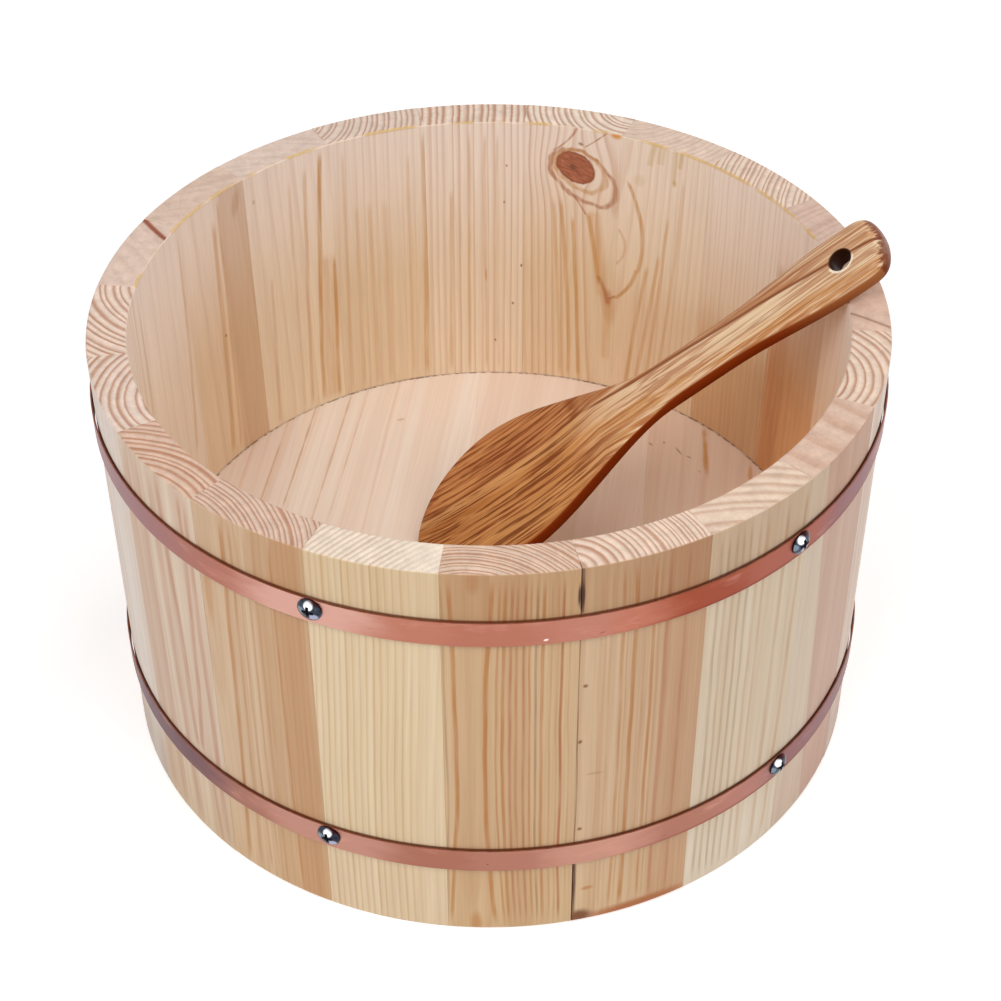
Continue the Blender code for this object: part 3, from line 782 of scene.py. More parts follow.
def finishStaves():
    random.seed(20)
    blank = modelStave()
    for index in range(stave["count"]):
        angle = staveMiddle(index)
        piece = copyOf(blank, f"pineStave{index + 1:02d}")
        piece.rotation_euler.z = math.radians(angle)
        proud = random.uniform(-1, 1) * stave["mostProud"]
        piece.location = outward(angle) * proud + Vector((0, 0, random.random() * stave["mostRise"]))
        settle(piece, 30)
        if index in crack["staves"]:
            cutCrack(piece)
            settle(piece, 30)
        piece.data.materials.append(pineMaterial(index, boards[index]))
        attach(piece, "tub")
        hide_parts(f"stave_{index + 1:02d}")
    remove(blank)


finishStaves()
print("staves done")

# floor boards, cut from one disc that stands in the groove
floorBoard = {
    "radius": 0.1359,
    "bottom": 0.037,
    "thickness": 0.015,
    "seams": (-0.0933, -0.0159, 0.0615),
    "turn": -5.0,  # degrees
    "grainTurn": -8.0,
    "seamGap": 0.00003,
    "seamRound": 0.00005,
    "fibreRough": (0.2, 0.8, 0.62, 0.52),
    "cornerShadeRing": (0.1308, 0.1317),  # along the wall
    "firstSeed": 40,
    "seedStep": 5.7,
    "sides": 240,
}
plankLooks = [
    {"pith": (-0.02, -0.11), "gap": 4.2, "lines": 0.5, "pale": (237, 220, 207), "dark": (208, 156, 112)},
    {"pith": (0.02, -0.12), "gap": 3.6, "lines": 0.42, "pale": (241, 227, 213), "dark": (212, 162, 120)},
    {"pith": (-0.02, -0.14), "gap": 3.0, "lines": 0.3, "pale": (239, 220, 205), "dark": (210, 166, 132)},
    {"pith": (0.04, -0.13), "gap": 2.6, "lines": 0.35, "pale": (231, 206, 187), "dark": (200, 150, 114)},
]
# seen from above: mm right, mm back, half width, half length, turn, stain, strength
floorMarks = [(93.6, 74, 1.9, 23, -2, "sap", 0.85), (112, 60, 1.3, 8, -5, "sap", 0.6),
              (82, 74, 0.8, 4.5, 25, "brown", 0.5), (86, 70, 0.8, 2.2, 50, "brown", 0.5),
              (70, 79, 0.7, 1.6, 30, "brown", 0.5), (76, 80, 0.9, 1.2, 0, "brown", 0.4),
              (90, 60, 0.7, 1.2, 0, "brown", 0.35), (-40, 97, 2.6, 1.3, 20, "tan", 0.5),
              (-83.5, 70, 0.7, 60, -8.4, "amber", 0.45), (-69, 73, 0.7, 70, -8.4, "amber", 0.4),
              (-95, 62, 0.7, 40, -8.4, "amber", 0.4), (-61, 80, 0.5, 60, -8.4, "tan", 0.4)]


def plankMaterial(index, look):
    material, shader = startMaterial(f"pinePlank{index + 1}")
    here = objectPlace()
    grain = placed(here, (0, 0, floorBoard["bottom"]), (0, 0, math.radians(floorBoard["grainTurn"])))
    seed = floorBoard["firstSeed"] + index * floorBoard["seedStep"]
    wander = noise(vec("ADD", grain, (seed, 0, 0)), (20, 4, 20), 1.0)
    reach = lengthOf(vec("SUBTRACT", grain, (look["pith"][0], 0, look["pith"][1])), (1, 0, 1))
    reach = (wander - 0.5) * 0.004 + reach
    rings = reach / (look["gap"] / 1000)
    rings = noiseAlong(rings + seed, 0.5) + rings
    late = curve(calc("FRACT", rings), [(0.0, 0.1), (0.3, 0.0), (0.66, 0.2), (0.86, 1.0), (1.0, 0.1)])
    weight = randomOf(calc("FLOOR", rings)) ** 3.0 * 0.8 + 0.2
    lines = late * weight * look["lines"]
    fibre = noise(grain, (1500, 22, 1500))
    streak = noise(vec("ADD", grain, (0, 0, seed)), (120, 3, 120))
    tone = mixed(remap(streak, 0.3, 0.7, 0.0, 0.2), look["pale"], look["dark"])
    tone = mixed(lines, tone, look["dark"])
    blur = noise(here, (90, 90, 90)) - 0.5
    for right, back, wide, long, turn, stain, much in floorMarks:
        at = placed(here, (right / 1000, back / 1000, floorBoard["bottom"]), (0, 0, math.radians(turn)),
                    (wide / 1000, long / 1000, 1))
        far = blur * 1.2 + lengthOf(at)
        tone = mixed(remap(far, 0.3, 1.0, much, 0.0), tone, stain)
    # painted shade: a dotted dark line in the corner along the wall
    edge = remap(lengthOf(here, (1, 1, 0)), *floorBoard["cornerShadeRing"])
    dots = remap(noise(here, (420, 420, 420)), 0.4, 0.6, 0.15, 0.75)
    tone = mixed(edge * dots, tone, "brown")
    shade = remap(fibre, 0.25, 0.75, 0.95, 1.04, "LINEAR")
    finishWood(shader, tone, shade, fibre, floorBoard["fibreRough"])
    return material


def finishFloor():
    clearPick()
    middle = floorBoard["bottom"] + floorBoard["thickness"] / 2
    bpy.ops.mesh.primitive_cylinder_add(vertices=floorBoard["sides"], radius=floorBoard["radius"],
                                        depth=floorBoard["thickness"], location=(0, 0, middle))
    disc = bpy.context.object
    settle(disc, 30)
    across = outward(floorBoard["turn"])
    edges = (None,) + floorBoard["seams"] + (None,)
    for index in range(len(edges) - 1):
        piece = copyOf(disc, f"floorPlank{index + 1}Wood")
        sides = [(edges[index], -1), (edges[index + 1], 1)]
        sides = [(seam - way * floorBoard["seamGap"] / 2, way) for seam, way in sides if seam is not None]
        for place, way in sides:
            pickAll(piece)
            bpy.ops.mesh.bisect(plane_co=across * place, plane_no=across * way, use_fill=True,
                                clear_outer=True)
            objectMode()
        settle(piece, 30)

        def onCut(point):
            return any(abs(across.dot(point) - place) < touching for place, way in sides)

        pickEdges(piece, lambda a, b: onCut(a) and onCut(b) and abs(a.z - b.z) < level)
        soften(floorBoard["seamRound"], 2)
        settle(piece, 30)
        piece.data.materials.append(plankMaterial(index, plankLooks[index]))
        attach(piece, "tub")
        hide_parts(f"floor_plank_{index + 1}")
    remove(disc)


finishFloor()
print("floor planks done")

# two copper hoops, each a strip whose outer end laps over the inner one
hoop = {
    "rises": {"upper": hoopRises[0], "lower": hoopRises[1]},
    "width": hoopWidth,
    "standOff": 0.00055,
    "thickness": 0.00065,
    "lapStart": 89.8,
    "lap": 12.0,
    "ramp": 4.0,
    "lift": 0.00085,
    "stepAngle": 2.0,
    "edgeRound": 0.00016,
    "between": (0.06, 0.12),  # heights that tell the hoops apart
    "tones": ((162, 108, 92), (170, 108, 90)),  # lower and upper
    # painted reflection and shade: darker, mauve copper towards the sides, lower and upper
    "sideReflectionTones": ((114, 78, 84), (138, 96, 102)),
}
# painted reflections and shade on the copper, bright and dull stretches: degrees, half width, screen
# colour, strength on each hoop
sheens = [(-114, 14, (204, 157, 143), 0.95, 0.45), (-100, 7, (182, 120, 100), 0.5, 0.0),
          (-98, 7, (160, 102, 84), 0.0, 0.4), (-89, 6, (172, 120, 104), 0.0, 0.6),
          (-75, 12, (190, 141, 125), 0.25, 0.8), (-68, 8, (176, 100, 76), 0.5, 0.0),
          (-34, 18, (130, 78, 80), 0.9, 0.75), (-46, 13, (156, 82, 62), 0.85, 0.0),
          (-60, 10, (146, 66, 42), 0.9, 0.0), (-50, 8, (172, 114, 102), 0.0, 0.5),
          (-147, 20, (98, 58, 68), 0.0, 0.85), (70, 40, (190, 136, 120), 0.5, 0.5)]
# small marks on the copper: degrees, mm up, half width, half height, screen colour, strength
copperMarks = [(-82.7, 151.6, 1.2, 0.7, (250, 226, 216), 0.9), (-90.4, 38.5, 0.5, 0.5, (96, 44, 30), 0.8),
               (-75.4, 151.5, 1.6, 0.4, (122, 60, 44), 0.6), (-64.5, 37.5, 1.8, 0.5, (136, 78, 60), 0.5)]


def copperMaterial():
    material, shader = startMaterial("satinCopper")
    x, y, z = split(objectPlace())
    swing = calc("ARCTAN2", y, x)
    strip = joined(swing * stave["rimRadius"], z)
    cloud = noise(strip, (45, 160, 1), 3.0, 0.6)
    scratch = noise(strip, (40, 5000, 1), 3.0, 0.6)
    turn = (cloud - 0.5) * 9.0 + swing * toDegrees
    upper = remap(z, *hoop["between"])
    tone = mixed(upper, *hoop["tones"])
    behind = 180 - abs(abs(turn + 90) - 180)  # degrees from the front
    # painted reflection and shade: the copper turns darker and mauve towards the sides
    ends = remap(behind, 32, 62, 0.0, 0.9) * remap(behind, 74, 110, 1.0, 0.25)
    tone = mixed(ends, tone, mixed(upper, *hoop["sideReflectionTones"]))
    # painted reflections and shade along the hoops
    for angle, half, colour, onUpper, onLower in sheens:
        off = abs(turn - angle)
        much = upper * (onUpper - onLower) + onLower
        tone = mixed(remap(off, half * 0.3, half, 1.0, 0.0) * much, tone, colour)
    tone = mixed(remap(cloud, 0.55, 0.75, 0.0, 0.3), tone, (216, 160, 142))
    for angle, height, wide, tall, colour, much in copperMarks:
        place = (math.radians(angle) * stave["rimRadius"], height / 1000, 0)
        at = placed(strip, place, (0, 0, 0.25), (wide / 1000, tall / 1000, 1))
        tone = mixed(remap(lengthOf(at), 0.3, 1.0, much, 0.0), tone, colour)
    for rise in hoopRises:  # painted shade: a darker lower edge to the right
        low = remap(abs(z - rise), 0.0003, 0.0017, 0.75, 0.0)
        tone = mixed(low * remap(turn, -78, -50), tone, (122, 52, 40))
    feed(shader, "Base Color", tone)
    feed(shader, "Metallic", 1.0)
    feed(shader, "Roughness", remap(scratch, 0.2, 0.8, 0.36, 0.5, "LINEAR"))
    bumped(shader, scratch, 0.08, 0.0002)
    return material


def copperEdgeMaterial():  # the strip's cut edges, gone brown
    material, shader = startMaterial("brownCopperEdge")
    grime = noise(objectPlace(), (300, 300, 900), 3.0, 0.6)
    feed(shader, "Base Color", curve(grime, [(0.3, (112, 56, 34)), (0.7, (156, 90, 62))]))
    feed(shader, "Metallic", 0.2)
    feed(shader, "Roughness", remap(grime, 0.2, 0.8, 0.5, 0.75, "LINEAR"))
    return material


def finishHoops():
    copper, brown = copperMaterial(), copperEdgeMaterial()
    for name, rise in hoop["rises"].items():
        near, top = hoop["standOff"], rise + hoop["width"]
        far = near + hoop["thickness"]
        piece = polygon([(outerAt(rise) + near, rise), (outerAt(rise) + far, rise),
                         (outerAt(top) + far, top), (outerAt(top) + near, top)])
        piece.name = f"copperHoop{name.title()}"
        pickAll(piece)
        turn = 360 - hoop["ramp"]
        swingAround(turn, round(turn / hoop["stepAngle"]))
        swingAround(hoop["ramp"], 1)
        bpy.ops.transform.translate(value=outward(0) * hoop["lift"])
        swingAround(hoop["lap"], round(hoop["lap"] / hoop["stepAngle"]))
        objectMode()
        settle(piece, 30)
        pickEdges(piece, lambda a, b: abs(a.z - b.z) < level and (a - b).length > hoop["thickness"] * 1.5)
        soften(hoop["edgeRound"], 2)
        piece.rotation_euler.z = math.radians(hoop["lapStart"])
        settle(piece, 35)
        piece.data.materials.append(copper)
        piece.data.materials.append(brown)
        for face in piece.data.polygons:
            face.material_index = 1 if abs(face.normal.z) > 0.8 else 0
        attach(piece, "tub")
        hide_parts(f"{name}_hoop")


finishHoops()
print("hoops done")

# screws that hold the hoops, modelled once along +X with the head's seat at the origin
screw = {
    "first": -113.0,  # degrees
    "step": 69.6,
    "count": 5,
    "lapScrew": 3,
    "rise": 0.0063,  # above the hoop's lower edge
    "nudge": {"upper": (-0.45, -0.8, 0, 0, 0), "lower": (-0.45, 0.3, 0, 0, 0)},  # degrees
    "headRadius": 0.0046,
    "headHeight": 0.0023,
    "headEdge": 0.0006,
    "shankRadius": 0.0014,
    "length": 0.0115,
    "pointShare": 0.3,  # of the length
    "pointWidth": 0.2,  # of the shank
    "recessWidth": 0.0017,
    "recessSpan": 0.0062,
    "recessDepth": 0.0014,
    "recessTaper": 0.55,
    "mostTurn": 0.2,  # radians
    # painted reflection: dark tones for the darker room that the heads mirror
    "tones": ((36, 40, 50), (68, 75, 88)),
    # painted shade: the cross recess coloured near black
    "recessShadeTones": ((14, 14, 18), (34, 34, 40)),
    "sides": 40,
    "rings": 60,
    "edgeRound": 0.00012,
}
# painted reflections on a screw's head, as it mirrors the room: aside, up, reach, screen colour, strength
domeGlints = [(-0.34, 0.02, 0.24, (128, 142, 158), 0.8), (0.26, -0.27, 0.28, (164, 168, 194), 0.9),
              (0.03, 0.37, 0.28, (250, 251, 255), 1.0)]


def steelMaterial():
    material, shader = startMaterial("platedSteel")
    here = objectPlace()
    cloud = noise(here, (420, 420, 420), 3.0, 0.6)
    tone = curve(cloud, list(zip((0.3, 0.7), screw["tones"])))
    facing = skinNormal()
    out = vec("NORMALIZE", vec("MULTIPLY", here, (1, 1, 0)))
    right = vec("CROSS_PRODUCT", (0, 0, 1), out)
    x, y = split(here)[:2]
    # the painted reflections shift aside with the screw's place round the tub
    drift = remap(calc("ARCTAN2", y, x), math.radians(-110), math.radians(-40), 0.0, 0.24)
    aside = vec("DOT_PRODUCT", facing, right) + drift
    rise = vec("DOT_PRODUCT", facing, (0, 0, 1))
    slope = joined(aside, rise)
    for side, up, reach, colour, much in domeGlints:
        far = vec("DISTANCE", slope, (side, up, 0))
        tone = mixed(remap(far, reach * 0.6, reach, much, 0.0), tone, colour)
    # painted shade and reflection of the copper along the head's upper and right edge
    edge = remap(aside * 0.5 + rise, 0.5, 0.7, 0.0, 0.9)
    tone = mixed(edge, tone, (58, 20, 16))
    feed(shader, "Base Color", tone)
    feed(shader, "Metallic", 1.0)
    feed(shader, "Roughness", remap(cloud, 0.2, 0.8, 0.14, 0.26, "LINEAR"))
    return material


def recessMaterial():
    material, shader = startMaterial("darkRecess")
    # painted shade: the recess is coloured near black
    grime = noise(objectPlace(), (1500, 1500, 1500))
    feed(shader, "Base Color", curve(grime, list(zip((0.3, 0.7), screw["recessShadeTones"]))))
    feed(shader, "Metallic", 0.5)
    feed(shader, "Roughness", 0.5)
    return material


def modelScrew():
    rim, dome = screw["headRadius"], screw["headHeight"] - screw["headEdge"]
    ball = (rim * rim + dome * dome) / (2 * dome)
    clearPick()
    bpy.ops.mesh.primitive_uv_sphere_add(segments=screw["sides"], ring_count=screw["rings"], radius=ball,
                                         location=(screw["headHeight"] - ball, 0, 0),
                                         rotation=(0, math.pi / 2, 0))
    made = bpy.context.object
    settle(made, 40)
    pickAll(made)
    bpy.ops.mesh.bisect(plane_co=(screw["headEdge"], 0, 0), plane_no=(1, 0, 0), use_fill=True,
                        clear_inner=True)
    objectMode()
    pick(made, "FACE", lambda f: f.normal.x < -0.99)
    pullOut(-screw["headEdge"])
    bpy.ops.mesh.inset(thickness=rim - screw["shankRadius"])
    pullOut(-screw["length"] * (1 - screw["pointShare"]))
    pullOut(-screw["length"] * screw["pointShare"])
    point = (1, screw["pointWidth"], screw["pointWidth"])
    bpy.ops.transform.resize(value=point, center_override=(-screw["length"], 0, 0))
    objectMode()
    settle(made, 40)
    made.data.materials.append(steelMaterial())
    made.data.materials.append(recessMaterial())
    deep, span, width = screw["recessDepth"], screw["recessSpan"], screw["recessWidth"]
    for turn in (0, math.pi / 2):
        clearPick()
        bpy.ops.mesh.primitive_cube_add(size=1, scale=(2 * deep, span, width), rotation=(turn, 0, 0),
                                        location=(screw["headHeight"], 0, 0))
        slot = bpy.context.object
        pick(slot, "FACE", lambda f: f.normal.x < -0.9)
        bpy.ops.transform.resize(value=(1, screw["recessTaper"], screw["recessTaper"]))
        objectMode()
        settle(slot, 40)
        slot.data.materials.append(made.data.materials[1])
        cutAway(made, slot)
        remove(slot)
    take(made)
    soft = made.modifiers.new("soften", "BEVEL")
    soft.width, soft.segments, soft.limit_method = screw["edgeRound"], 2, "ANGLE"
    soft.angle_limit = math.radians(40)
    bpy.ops.object.modifier_apply(modifier=soft.name)
    settle(made, 40)
    return made


def finishScrews():
    random.seed(5)
    blank = modelScrew()
    for name, rise in hoop["rises"].items():
        height = rise + screw["rise"]
        for index in range(screw["count"]):
            angle = screw["first"] + screw["step"] * index + screw["nudge"][name][index]
            seat = outerAt(height) + hoop["standOff"] + hoop["thickness"]
            if index == screw["lapScrew"]:
                seat += hoop["lift"]
            piece = copyOf(blank, f"hoopScrew{name.title()}{index + 1}")
            piece.rotation_euler = (random.uniform(-screw["mostTurn"], screw["mostTurn"]), 0,
                                    math.radians(angle))
            piece.location = outward(angle) * seat + Vector((0, 0, height))
            settle(piece, 40)
            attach(piece, "tub")
            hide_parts(f"{name}_hoop_screw_{index + 1}")
    remove(blank)


finishScrews()
print("screws done")

# rice paddle, modelled flat along +X from its tip, then laid from the floor to the rim
paddle = {
    "length": 0.2306,
    "bladeWidth": 0.0652,
    "tipLength": 0.0456,
    "shoulderLength": 0.0844,
    "neckLength": 0.0265,
    "neckWidth": 0.0218,
    "gripTaper": 0.0545,
    "gripWidth": 0.0305,
    "endRound": 0.011,
    "endFullness": 2.5,
    "tipThickness": 0.0034,
    "bladeThickness": 0.0056,
    "handleThickness": 0.0088,
    "tipRoundness": 0.5,
    "bladeRoundness": 0.22,
    "handleRoundness": 0.7,
    "tipBlend": (0.012, 0.035),  # start and length of a change of roundness
    "handleBlend": (0.085, 0.06),
    "tongueStart": 0.108,  # where the handle's back fades out on the blade
    "tongueSlope": 0.0045,
    "tongueGrow": 0.03,
    "tongueWidth": 0.0115,
    "tongueRound": 0.02,
    "tongueEnd": 0.165,
    "wideStart": 0.15,  # past the neck the whole width is handle
    "wideGrow": 0.02,
    "scoop": 0.0007,  # how far the blade's left side is hollowed
    "scoopSide": (0.006, 0.007),
    "scoopEnd": (0.0905, 0.005),
    "holeRadius": 0.0046,
    "holeFromEnd": 0.0179,
    "holeRound": 0.0004,
    "holeRim": 0.0012,  # an edge of its rim rises less than this
    "drillLength": 0.03,
    "tip": (-0.028798, 0.007432, 0.053716),
    "turn": (13.1, -39.6, 2.74),  # roll, tilt, heading in degrees
    "tones": [(0.36, (158, 90, 40)), (0.5, (178, 112, 58)), (0.64, (200, 140, 82))],
    "handleTone": (206, 154, 102),
    "paleTone": (232, 202, 166),
    # painted shade with darker wood: the sides turned away
    "flankShadeTone": (124, 47, 13),
    "stations": 60,
    "sides": 48,
}
holeAt = paddle["length"] - paddle["holeFromEnd"]


def eased(share):
    share = min(1.0, max(0.0, share))
    return (1 - math.cos(math.pi * share)) / 2


def paddleHalfWidth(s):
    if s < paddle["tipLength"]:
        return paddle["bladeWidth"] / 2 * math.sqrt(max(0.0, 1 - (1 - s / paddle["tipLength"]) ** 2))
    neckStart = paddle["tipLength"] + paddle["shoulderLength"]
    if s < neckStart:
        share = eased((s - paddle["tipLength"]) / paddle["shoulderLength"])
        return (paddle["bladeWidth"] + (paddle["neckWidth"] - paddle["bladeWidth"]) * share) / 2
    share = eased((s - neckStart - paddle["neckLength"]) / paddle["gripTaper"])
    half = (paddle["neckWidth"] + (paddle["gripWidth"] - paddle["neckWidth"]) * share) / 2
    rounded = min(1.0, max(0.0, (s - paddle["length"] + paddle["endRound"]) / paddle["endRound"]))
    return half * (1 - rounded ** paddle["endFullness"]) ** (1 / paddle["endFullness"])


def blend(s, start, length):
    return eased((s - start) / length)


def paddlePoint(s, turn):  # a skin point at a distance from the tip
    half = paddleHalfWidth(s)
    share = blend(s, *paddle["handleBlend"])
    tip, flat = paddle["tipRoundness"], paddle["bladeRoundness"]
    roundness = tip + (flat - tip) * blend(s, *paddle["tipBlend"])
    roundness += (paddle["handleRoundness"] - roundness) * share
    spread = 0.5 + 0.2 * share
    c, t = math.cos(turn), math.sin(turn)
    y = math.copysign(abs(c) ** spread, c) * half
    thin, full = paddle["tipThickness"], paddle["bladeThickness"]
    blade = thin + (full - thin) * eased(s / paddle["tipLength"])
    tongue = (paddle["handleThickness"] - blade) * blend(s, paddle["tongueStart"], paddle["tongueGrow"])
    if s < paddle["tongueEnd"]:
        reach = max(0.0, min(1.0, (s - paddle["tongueStart"]) / paddle["tongueRound"]))
        reach = paddle["tongueWidth"] * math.sqrt(reach)
        tongue *= eased((reach + paddle["tongueSlope"] / 2 - abs(y)) / paddle["tongueSlope"])
    wide = blend(s, paddle["wideStart"], paddle["wideGrow"])
    thick = (blade + tongue * (1 - wide) + (paddle["handleThickness"] - blade) * wide) / 2
    rounded = min(1.0, max(0.0, (s - paddle["length"] + paddle["endRound"] / 2) / (paddle["endRound"] / 2)))
    thick *= 1 - rounded ** 2 / 2
    if t > 0:
        end, fade = paddle["scoopEnd"]
        thick -= paddle["scoop"] * blend(y, *paddle["scoopSide"]) * eased((end - s) / fade)
    rise = max(0.0, 1 - abs(c) ** (2 * spread / roundness)) ** (roundness / 2)
    return Vector((s, y, math.copysign(rise, t) * thick))


# how the paddle's stripes run, in metres: the grain dips on the blade, and the border on the handle's
# back starts left of the middle, leans, and bends off near the end
stripes = {
    "sway": 0.006,
    "dip": 0.0045,
    "dipStart": 0.05,
    "dipHalf": 0.045,
    "dipEnd": 0.095,
    "start": 0.0157,
    "slope": -0.058,
    "bendAt": 0.177,
    "bendSlope": 0.07,
    "shoulder": 0.0862,
}
# broad stripes on the blade: metres across, half width, screen colour, strength
bladeStripes = [(0.0036, 0.0042, (204, 152, 96), 0.65), (-0.02, 0.01, (204, 152, 94), 0.3),
                (0.0077, 0.0012, (120, 54, 18), 0.8)]


def hardwoodMaterial():
    material, shader = startMaterial("stripedHardwood")
    turn = Euler([math.radians(angle) for angle in paddle["turn"]])
    here = placed(objectPlace(), paddle["tip"], turn)  # along, across and through the paddle
    along, aside, through = split(here)
    across = (noise(here, (10, 26, 26), 1.0) - 0.5) * stripes["sway"] + aside
    dip = (calc("MINIMUM", along, stripes["dipEnd"]) - stripes["dipStart"]) / stripes["dipHalf"]
    edge = across - dip * dip * stripes["dip"]
    grain = joined(along, edge, through)
    broad = noise(grain, (10, 150, 150))
    streak = noise(grain, (26, 760, 640), 3.0, 0.6)
    bright = noise(vec("ADD", grain, (0, 0.07, 0)), (24, 700, 600), 3.0, 0.6)
    fine = noise(grain, (44, 1700, 1300))
    handle = remap(along, 0.075, 0.115)
    tone = curve(broad, paddle["tones"])
    tone = mixed(remap(along, 0.0, 0.05, 0.35, 0.0), tone, (140, 74, 32))
    tone = mixed(handle, tone, paddle["handleTone"])
    # the handle's back: a brown strip on the left, then a pale one
    bend = calc("MAXIMUM", along - stripes["bendAt"], 0.0) * stripes["bendSlope"]
    beside = across - (along * stripes["slope"] + stripes["start"] - bend)
    pale = remap(beside, -0.0105, -0.0075) * remap(along, 0.07, 0.13, 0.1, 0.85)
    tone = mixed(pale, tone, paddle["paleTone"])
    strip = remap(beside, -0.0006, 0.0008) * remap(along, 0.0865, 0.0895, 0.0, 0.85)
    tone = mixed(strip, tone, mixed(remap(along, 0.18, 0.215), (176, 114, 68), (200, 150, 106)))
    wing = remap(edge, 0.0068, 0.0084) * remap(along, 0.0855, 0.0895, 0.85, 0.0)
    tone = mixed(wing, tone, (184, 118, 70))
    blade = remap(along, 0.086, 0.0895, 1.0, 0.0)
    beyond = remap(edge, 0.0064, 0.008) * remap(abs(along - stripes["shoulder"]), 0.0005, 0.0045, 0.7, 0.0)
    tone = mixed(beyond, tone, (132, 66, 28))
    for middle, half, colour, much in bladeStripes:
        off = abs(edge - middle)
        tone = mixed(remap(off, half * 0.3, half, much, 0.0) * blade, tone, colour)
    # painted shade, partly darker wood: faces turned to the paddle's -Y side are coloured darker and less
    # glossy
    facing = skinNormal()
    steep = vec("DOT_PRODUCT", facing, turn.to_matrix() @ Vector((0, -1, 0)))
    tone = mixed(remap(steep, 0.05, 0.4, 0.0, 0.6) * handle, tone, (182, 118, 60))
    shadedFlank = remap(handle * -0.42 + steep, 0.06, 0.36)
    shadedFlank = shadedFlank * remap(along, 0.17, 0.222, 1.0, 0.6)
    tone = mixed(shadedFlank, tone, paddle["flankShadeTone"])
    dull = remap(shadedFlank, 0.0, 0.6, 1.0, 0.0)
    light = remap(bright, 0.48, 0.6, 0.0, 0.72) * dull
    tone = mixed(light, tone, mixed(handle, (212, 152, 92), (236, 208, 172)))
    deep = mixed(handle, (116, 52, 15), (166, 90, 40))
    lined = remap(handle * 0.02 + streak, 0.49, 0.59, 0.0, 0.9) * (dull * (handle * -0.3 + 1.0))
    tone = mixed(lined, tone, deep)
    tone = mixed(remap(fine, 0.54, 0.68, 0.0, 0.4) * dull, tone, (136, 66, 24))
    seam = remap(abs(beside), 0.0003, 0.001, 0.9, 0.0)
    tone = mixed(seam * remap(along, 0.085, 0.1), tone, (126, 60, 22))
    # dark end, and the hole: a painted highlight on its lower lip and painted shade in and around the bore
    ending = (streak - 0.5) * 0.9 + vec("DOT_PRODUCT", facing, turn.to_matrix() @ Vector((1, 0, 0)))
    tone = mixed(remap(ending, 0.3, 0.55, 0.0, 0.85), tone, (108, 44, 18))
    rim = paddle["holeRadius"]
    bore = lengthOf(vec("SUBTRACT", here, (holeAt, 0, 0)), (1, 1, 0))
    lipHighlight = remap(bore, rim + 0.0009, rim + 0.0014, 0.95, 0.0) * remap(aside, -0.002, 0.0, 1.0, 0.0)
    tone = mixed(lipHighlight, tone, (248, 232, 208))
    holeShade = remap(bore, rim + 0.0003, rim + 0.0007, 1.0, 0.0) * remap(aside, -0.0012, 0.0006)
    tone = mixed(holeShade, tone, (84, 42, 20))
    tone = mixed(remap(bore, rim + 0.00005, rim + 0.00025, 1.0, 0.0), tone, (54, 26, 12))
    feed(shader, "Base Color", tone)
    feed(shader, "Roughness", remap(streak, 0.2, 0.8, 0.46, 0.38, "LINEAR"))
    feed(shader, "Specular IOR Level", remap(shadedFlank, 0.0, 0.9, 0.22, 0.0, "LINEAR"))
    bumped(shader, streak)
    return material


def finishPaddle():
    clearPick()
    bpy.ops.mesh.primitive_circle_add(vertices=paddle["sides"], radius=0.01, fill_type="NOTHING",
                                      rotation=(0, math.pi / 2, 0))
    piece = bpy.context.object
    piece.name = "ricePaddleWood"
    bpy.ops.object.transform_apply(location=True, rotation=True, scale=True)
    count = paddle["stations"]  # closer together towards both ends
    turns = [math.pi * (i + 0.35) / (count - 0.3) for i in range(count)]
    steps = [paddle["length"] * (1 - math.cos(turn)) / 2 for turn in turns]
    pick(piece, "EDGE", lambda e: True)
    for step in range(count - 1):
        pullOut(steps[step + 1] - steps[step])
    bpy.ops.mesh.edge_face_add()
    objectMode()
    pickEdges(piece, lambda a, b: abs(a.x) < level and abs(b.x) < level)
    bpy.ops.mesh.edge_face_add()
    objectMode()
    for vertex in piece.data.vertices:
        turn = math.atan2(vertex.co.z, vertex.co.y)
        vertex.co = paddlePoint(vertex.co.x + steps[0], turn)
    settle(piece, 180)
    smooth = piece.modifiers.new("smooth", "SUBSURF")
    smooth.levels = smooth.render_levels = 1
    bpy.ops.object.modifier_apply(modifier=smooth.name)
    clearPick()
    bpy.ops.mesh.primitive_cylinder_add(vertices=paddle["sides"], radius=paddle["holeRadius"],
                                        depth=paddle["drillLength"],
                                        location=(holeAt, 0, 0))
    drill = bpy.context.object
    cutAway(piece, drill)
    remove(drill)

    def onHole(p):
        return abs(math.hypot(p.x - holeAt, p.y) - paddle["holeRadius"]) < 2 * touching

    pickEdges(piece, lambda a, b: onHole(a) and onHole(b) and abs(a.z - b.z) < paddle["holeRim"])
    soften(paddle["holeRound"], 3)
    piece.rotation_euler = [math.radians(angle) for angle in paddle["turn"]]
    piece.location = paddle["tip"]
    settle(piece, 50)
    piece.data.materials.append(hardwoodMaterial())
    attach(piece, "paddle")
    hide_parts("rice_paddle")


finishPaddle()
print("paddle done")

# the hidden pegs between the staves keep their CAD shape
peg = {"pale": (214, 184, 128), "dark": (170, 132, 78)}


def dressPegs():
    material, shader = startMaterial("bambooPeg")
    fibre = noise(objectPlace(), (900, 900, 2600), 3.0)
    feed(shader, "Base Color", curve(fibre, [(0.3, peg["dark"]), (0.7, peg["pale"])]))
    feed(shader, "Roughness", remap(fibre, 0.2, 0.8, 0.6, 0.45, "LINEAR"))
    for index in range(stave["count"]):
        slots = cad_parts[f"stave_peg_{index + 1:02d}"].data.materials
        slots.clear()
        slots.append(material)


dressPegs()
print("pegs done")

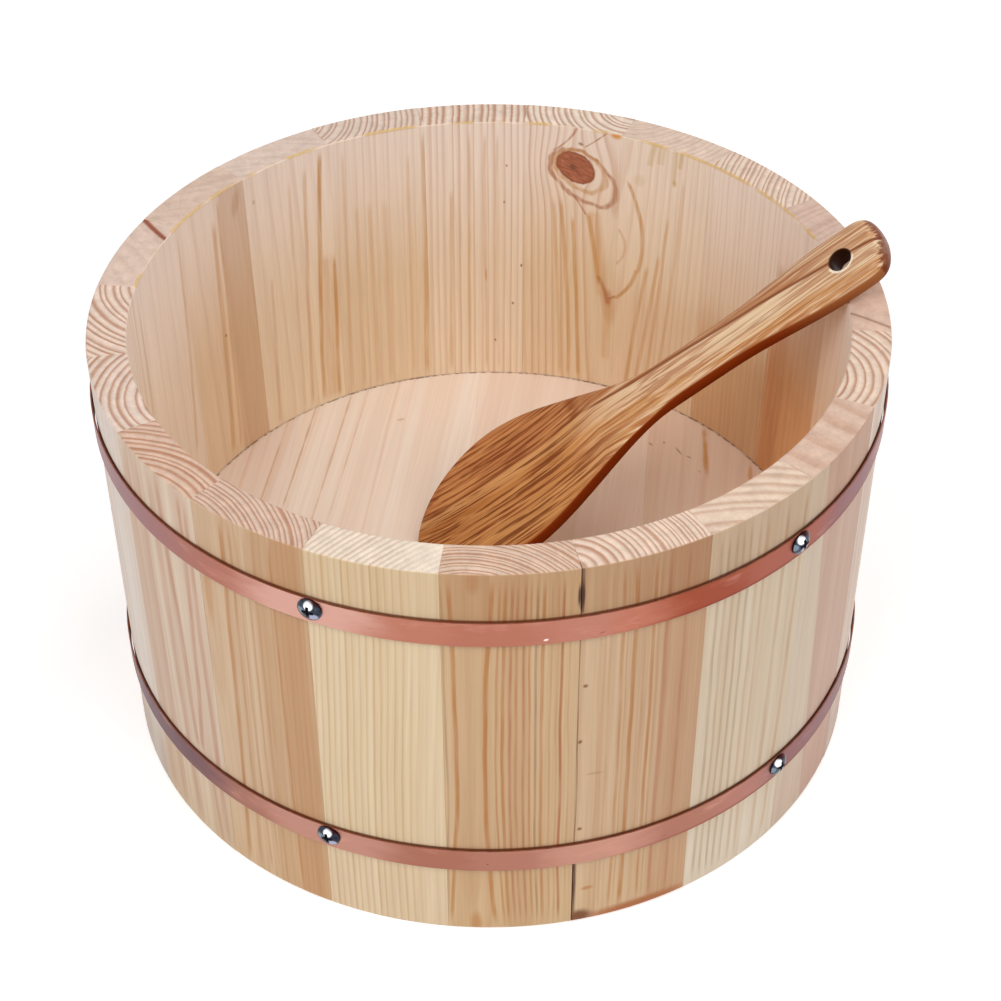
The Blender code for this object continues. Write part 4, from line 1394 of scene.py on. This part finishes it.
# camera at the photograph's view
camera = {
    "eye": (0.0041, -0.7006, 0.6764),
    "target": (0.0041, 0.0, 0.0865),
    "lens": 81.94,
    "roll": -0.19,  # degrees
    "sensor": 36,  # mm
}
lampSize = 0.7
lampTarget = (0, 0, 0.1)
lamps = [
    {"name": "keyLamp", "place": (-0.45, -0.65, 0.95), "power": 6.6},
    {"name": "sideLamp", "place": (0.5, -0.65, 0.9), "power": 3.7},
    {"name": "topLamp", "place": (0.0, 0.02, 1.3), "power": 2.2},
    {"name": "backLamp", "place": (0.7, 0.7, 0.8), "power": 4.6},
]
ground = {"size": 8.0, "colour": (0.85, 0.85, 0.85, 1.0), "rough": 0.9, "glow": 0.15, "seenGlow": 0.4,
          "whiteFrom": 0.4, "whiteAt": 0.8}
ambient = 0.2
white = (1, 1, 1, 1)


def aimed(place, target, roll=0.0):
    look = (Vector(target) - Vector(place)).to_track_quat("-Z", "Y")
    return (look @ Quaternion((0, 0, 1), math.radians(roll))).to_euler()


def seenDirectly():
    kinds = ("Camera", "Glossy", "Transmission")
    seen = [add("ShaderNodeLightPath", f"Is {kind} Ray", {}) for kind in kinds]
    return calc("MINIMUM", seen[0] + seen[1] + seen[2], 1.0)


def setStage():
    clearPick()
    turned = aimed(camera["eye"], camera["target"], camera["roll"])
    bpy.ops.object.camera_add(location=camera["eye"], rotation=turned)
    scene.camera = bpy.context.object
    scene.camera.data.lens = camera["lens"]
    scene.camera.data.sensor_width = camera["sensor"]
    for lamp in lamps:
        turned = aimed(lamp["place"], lampTarget)
        bpy.ops.object.light_add(type="AREA", location=lamp["place"], rotation=turned)
        light = bpy.context.object
        light.name = lamp["name"]
        light.data.size = lampSize
        light.data.energy = lamp["power"]
    clearPick()
    bpy.ops.mesh.primitive_plane_add(size=ground["size"])
    floor = bpy.context.object
    floor.name = "paleFloor"
    material, shader = startMaterial("paleGround")
    feed(shader, "Base Color", ground["colour"])
    feed(shader, "Roughness", ground["rough"])
    feed(shader, "Specular IOR Level", 0.0)
    feed(shader, "Emission Color", white)
    far = lengthOf(objectPlace())  # fades to white away from the tub
    dim, glow = ground["seenGlow"], ground["glow"]
    bright = remap(far, ground["whiteFrom"], ground["whiteAt"], dim - glow, 1.0 - glow)
    feed(shader, "Emission Strength", seenDirectly() * bright + glow)
    floor.data.materials.append(material)
    scene.world = bpy.data.worlds.new("whiteTent")
    scene.world.use_nodes = True
    bench["tree"] = scene.world.node_tree
    bench["tree"].nodes.clear()
    powers = (ambient, 1.0)  # as light, and as seen
    tents = [add("ShaderNodeBackground", 0, {"Color": white, "Strength": power}) for power in powers]
    both = add("ShaderNodeMixShader", 0, {0: seenDirectly(), 1: tents[0], 2: tents[1]})
    output = bench["tree"].nodes.new("ShaderNodeOutputWorld")
    feed(output, "Surface", both)


setStage()
print("stage done")
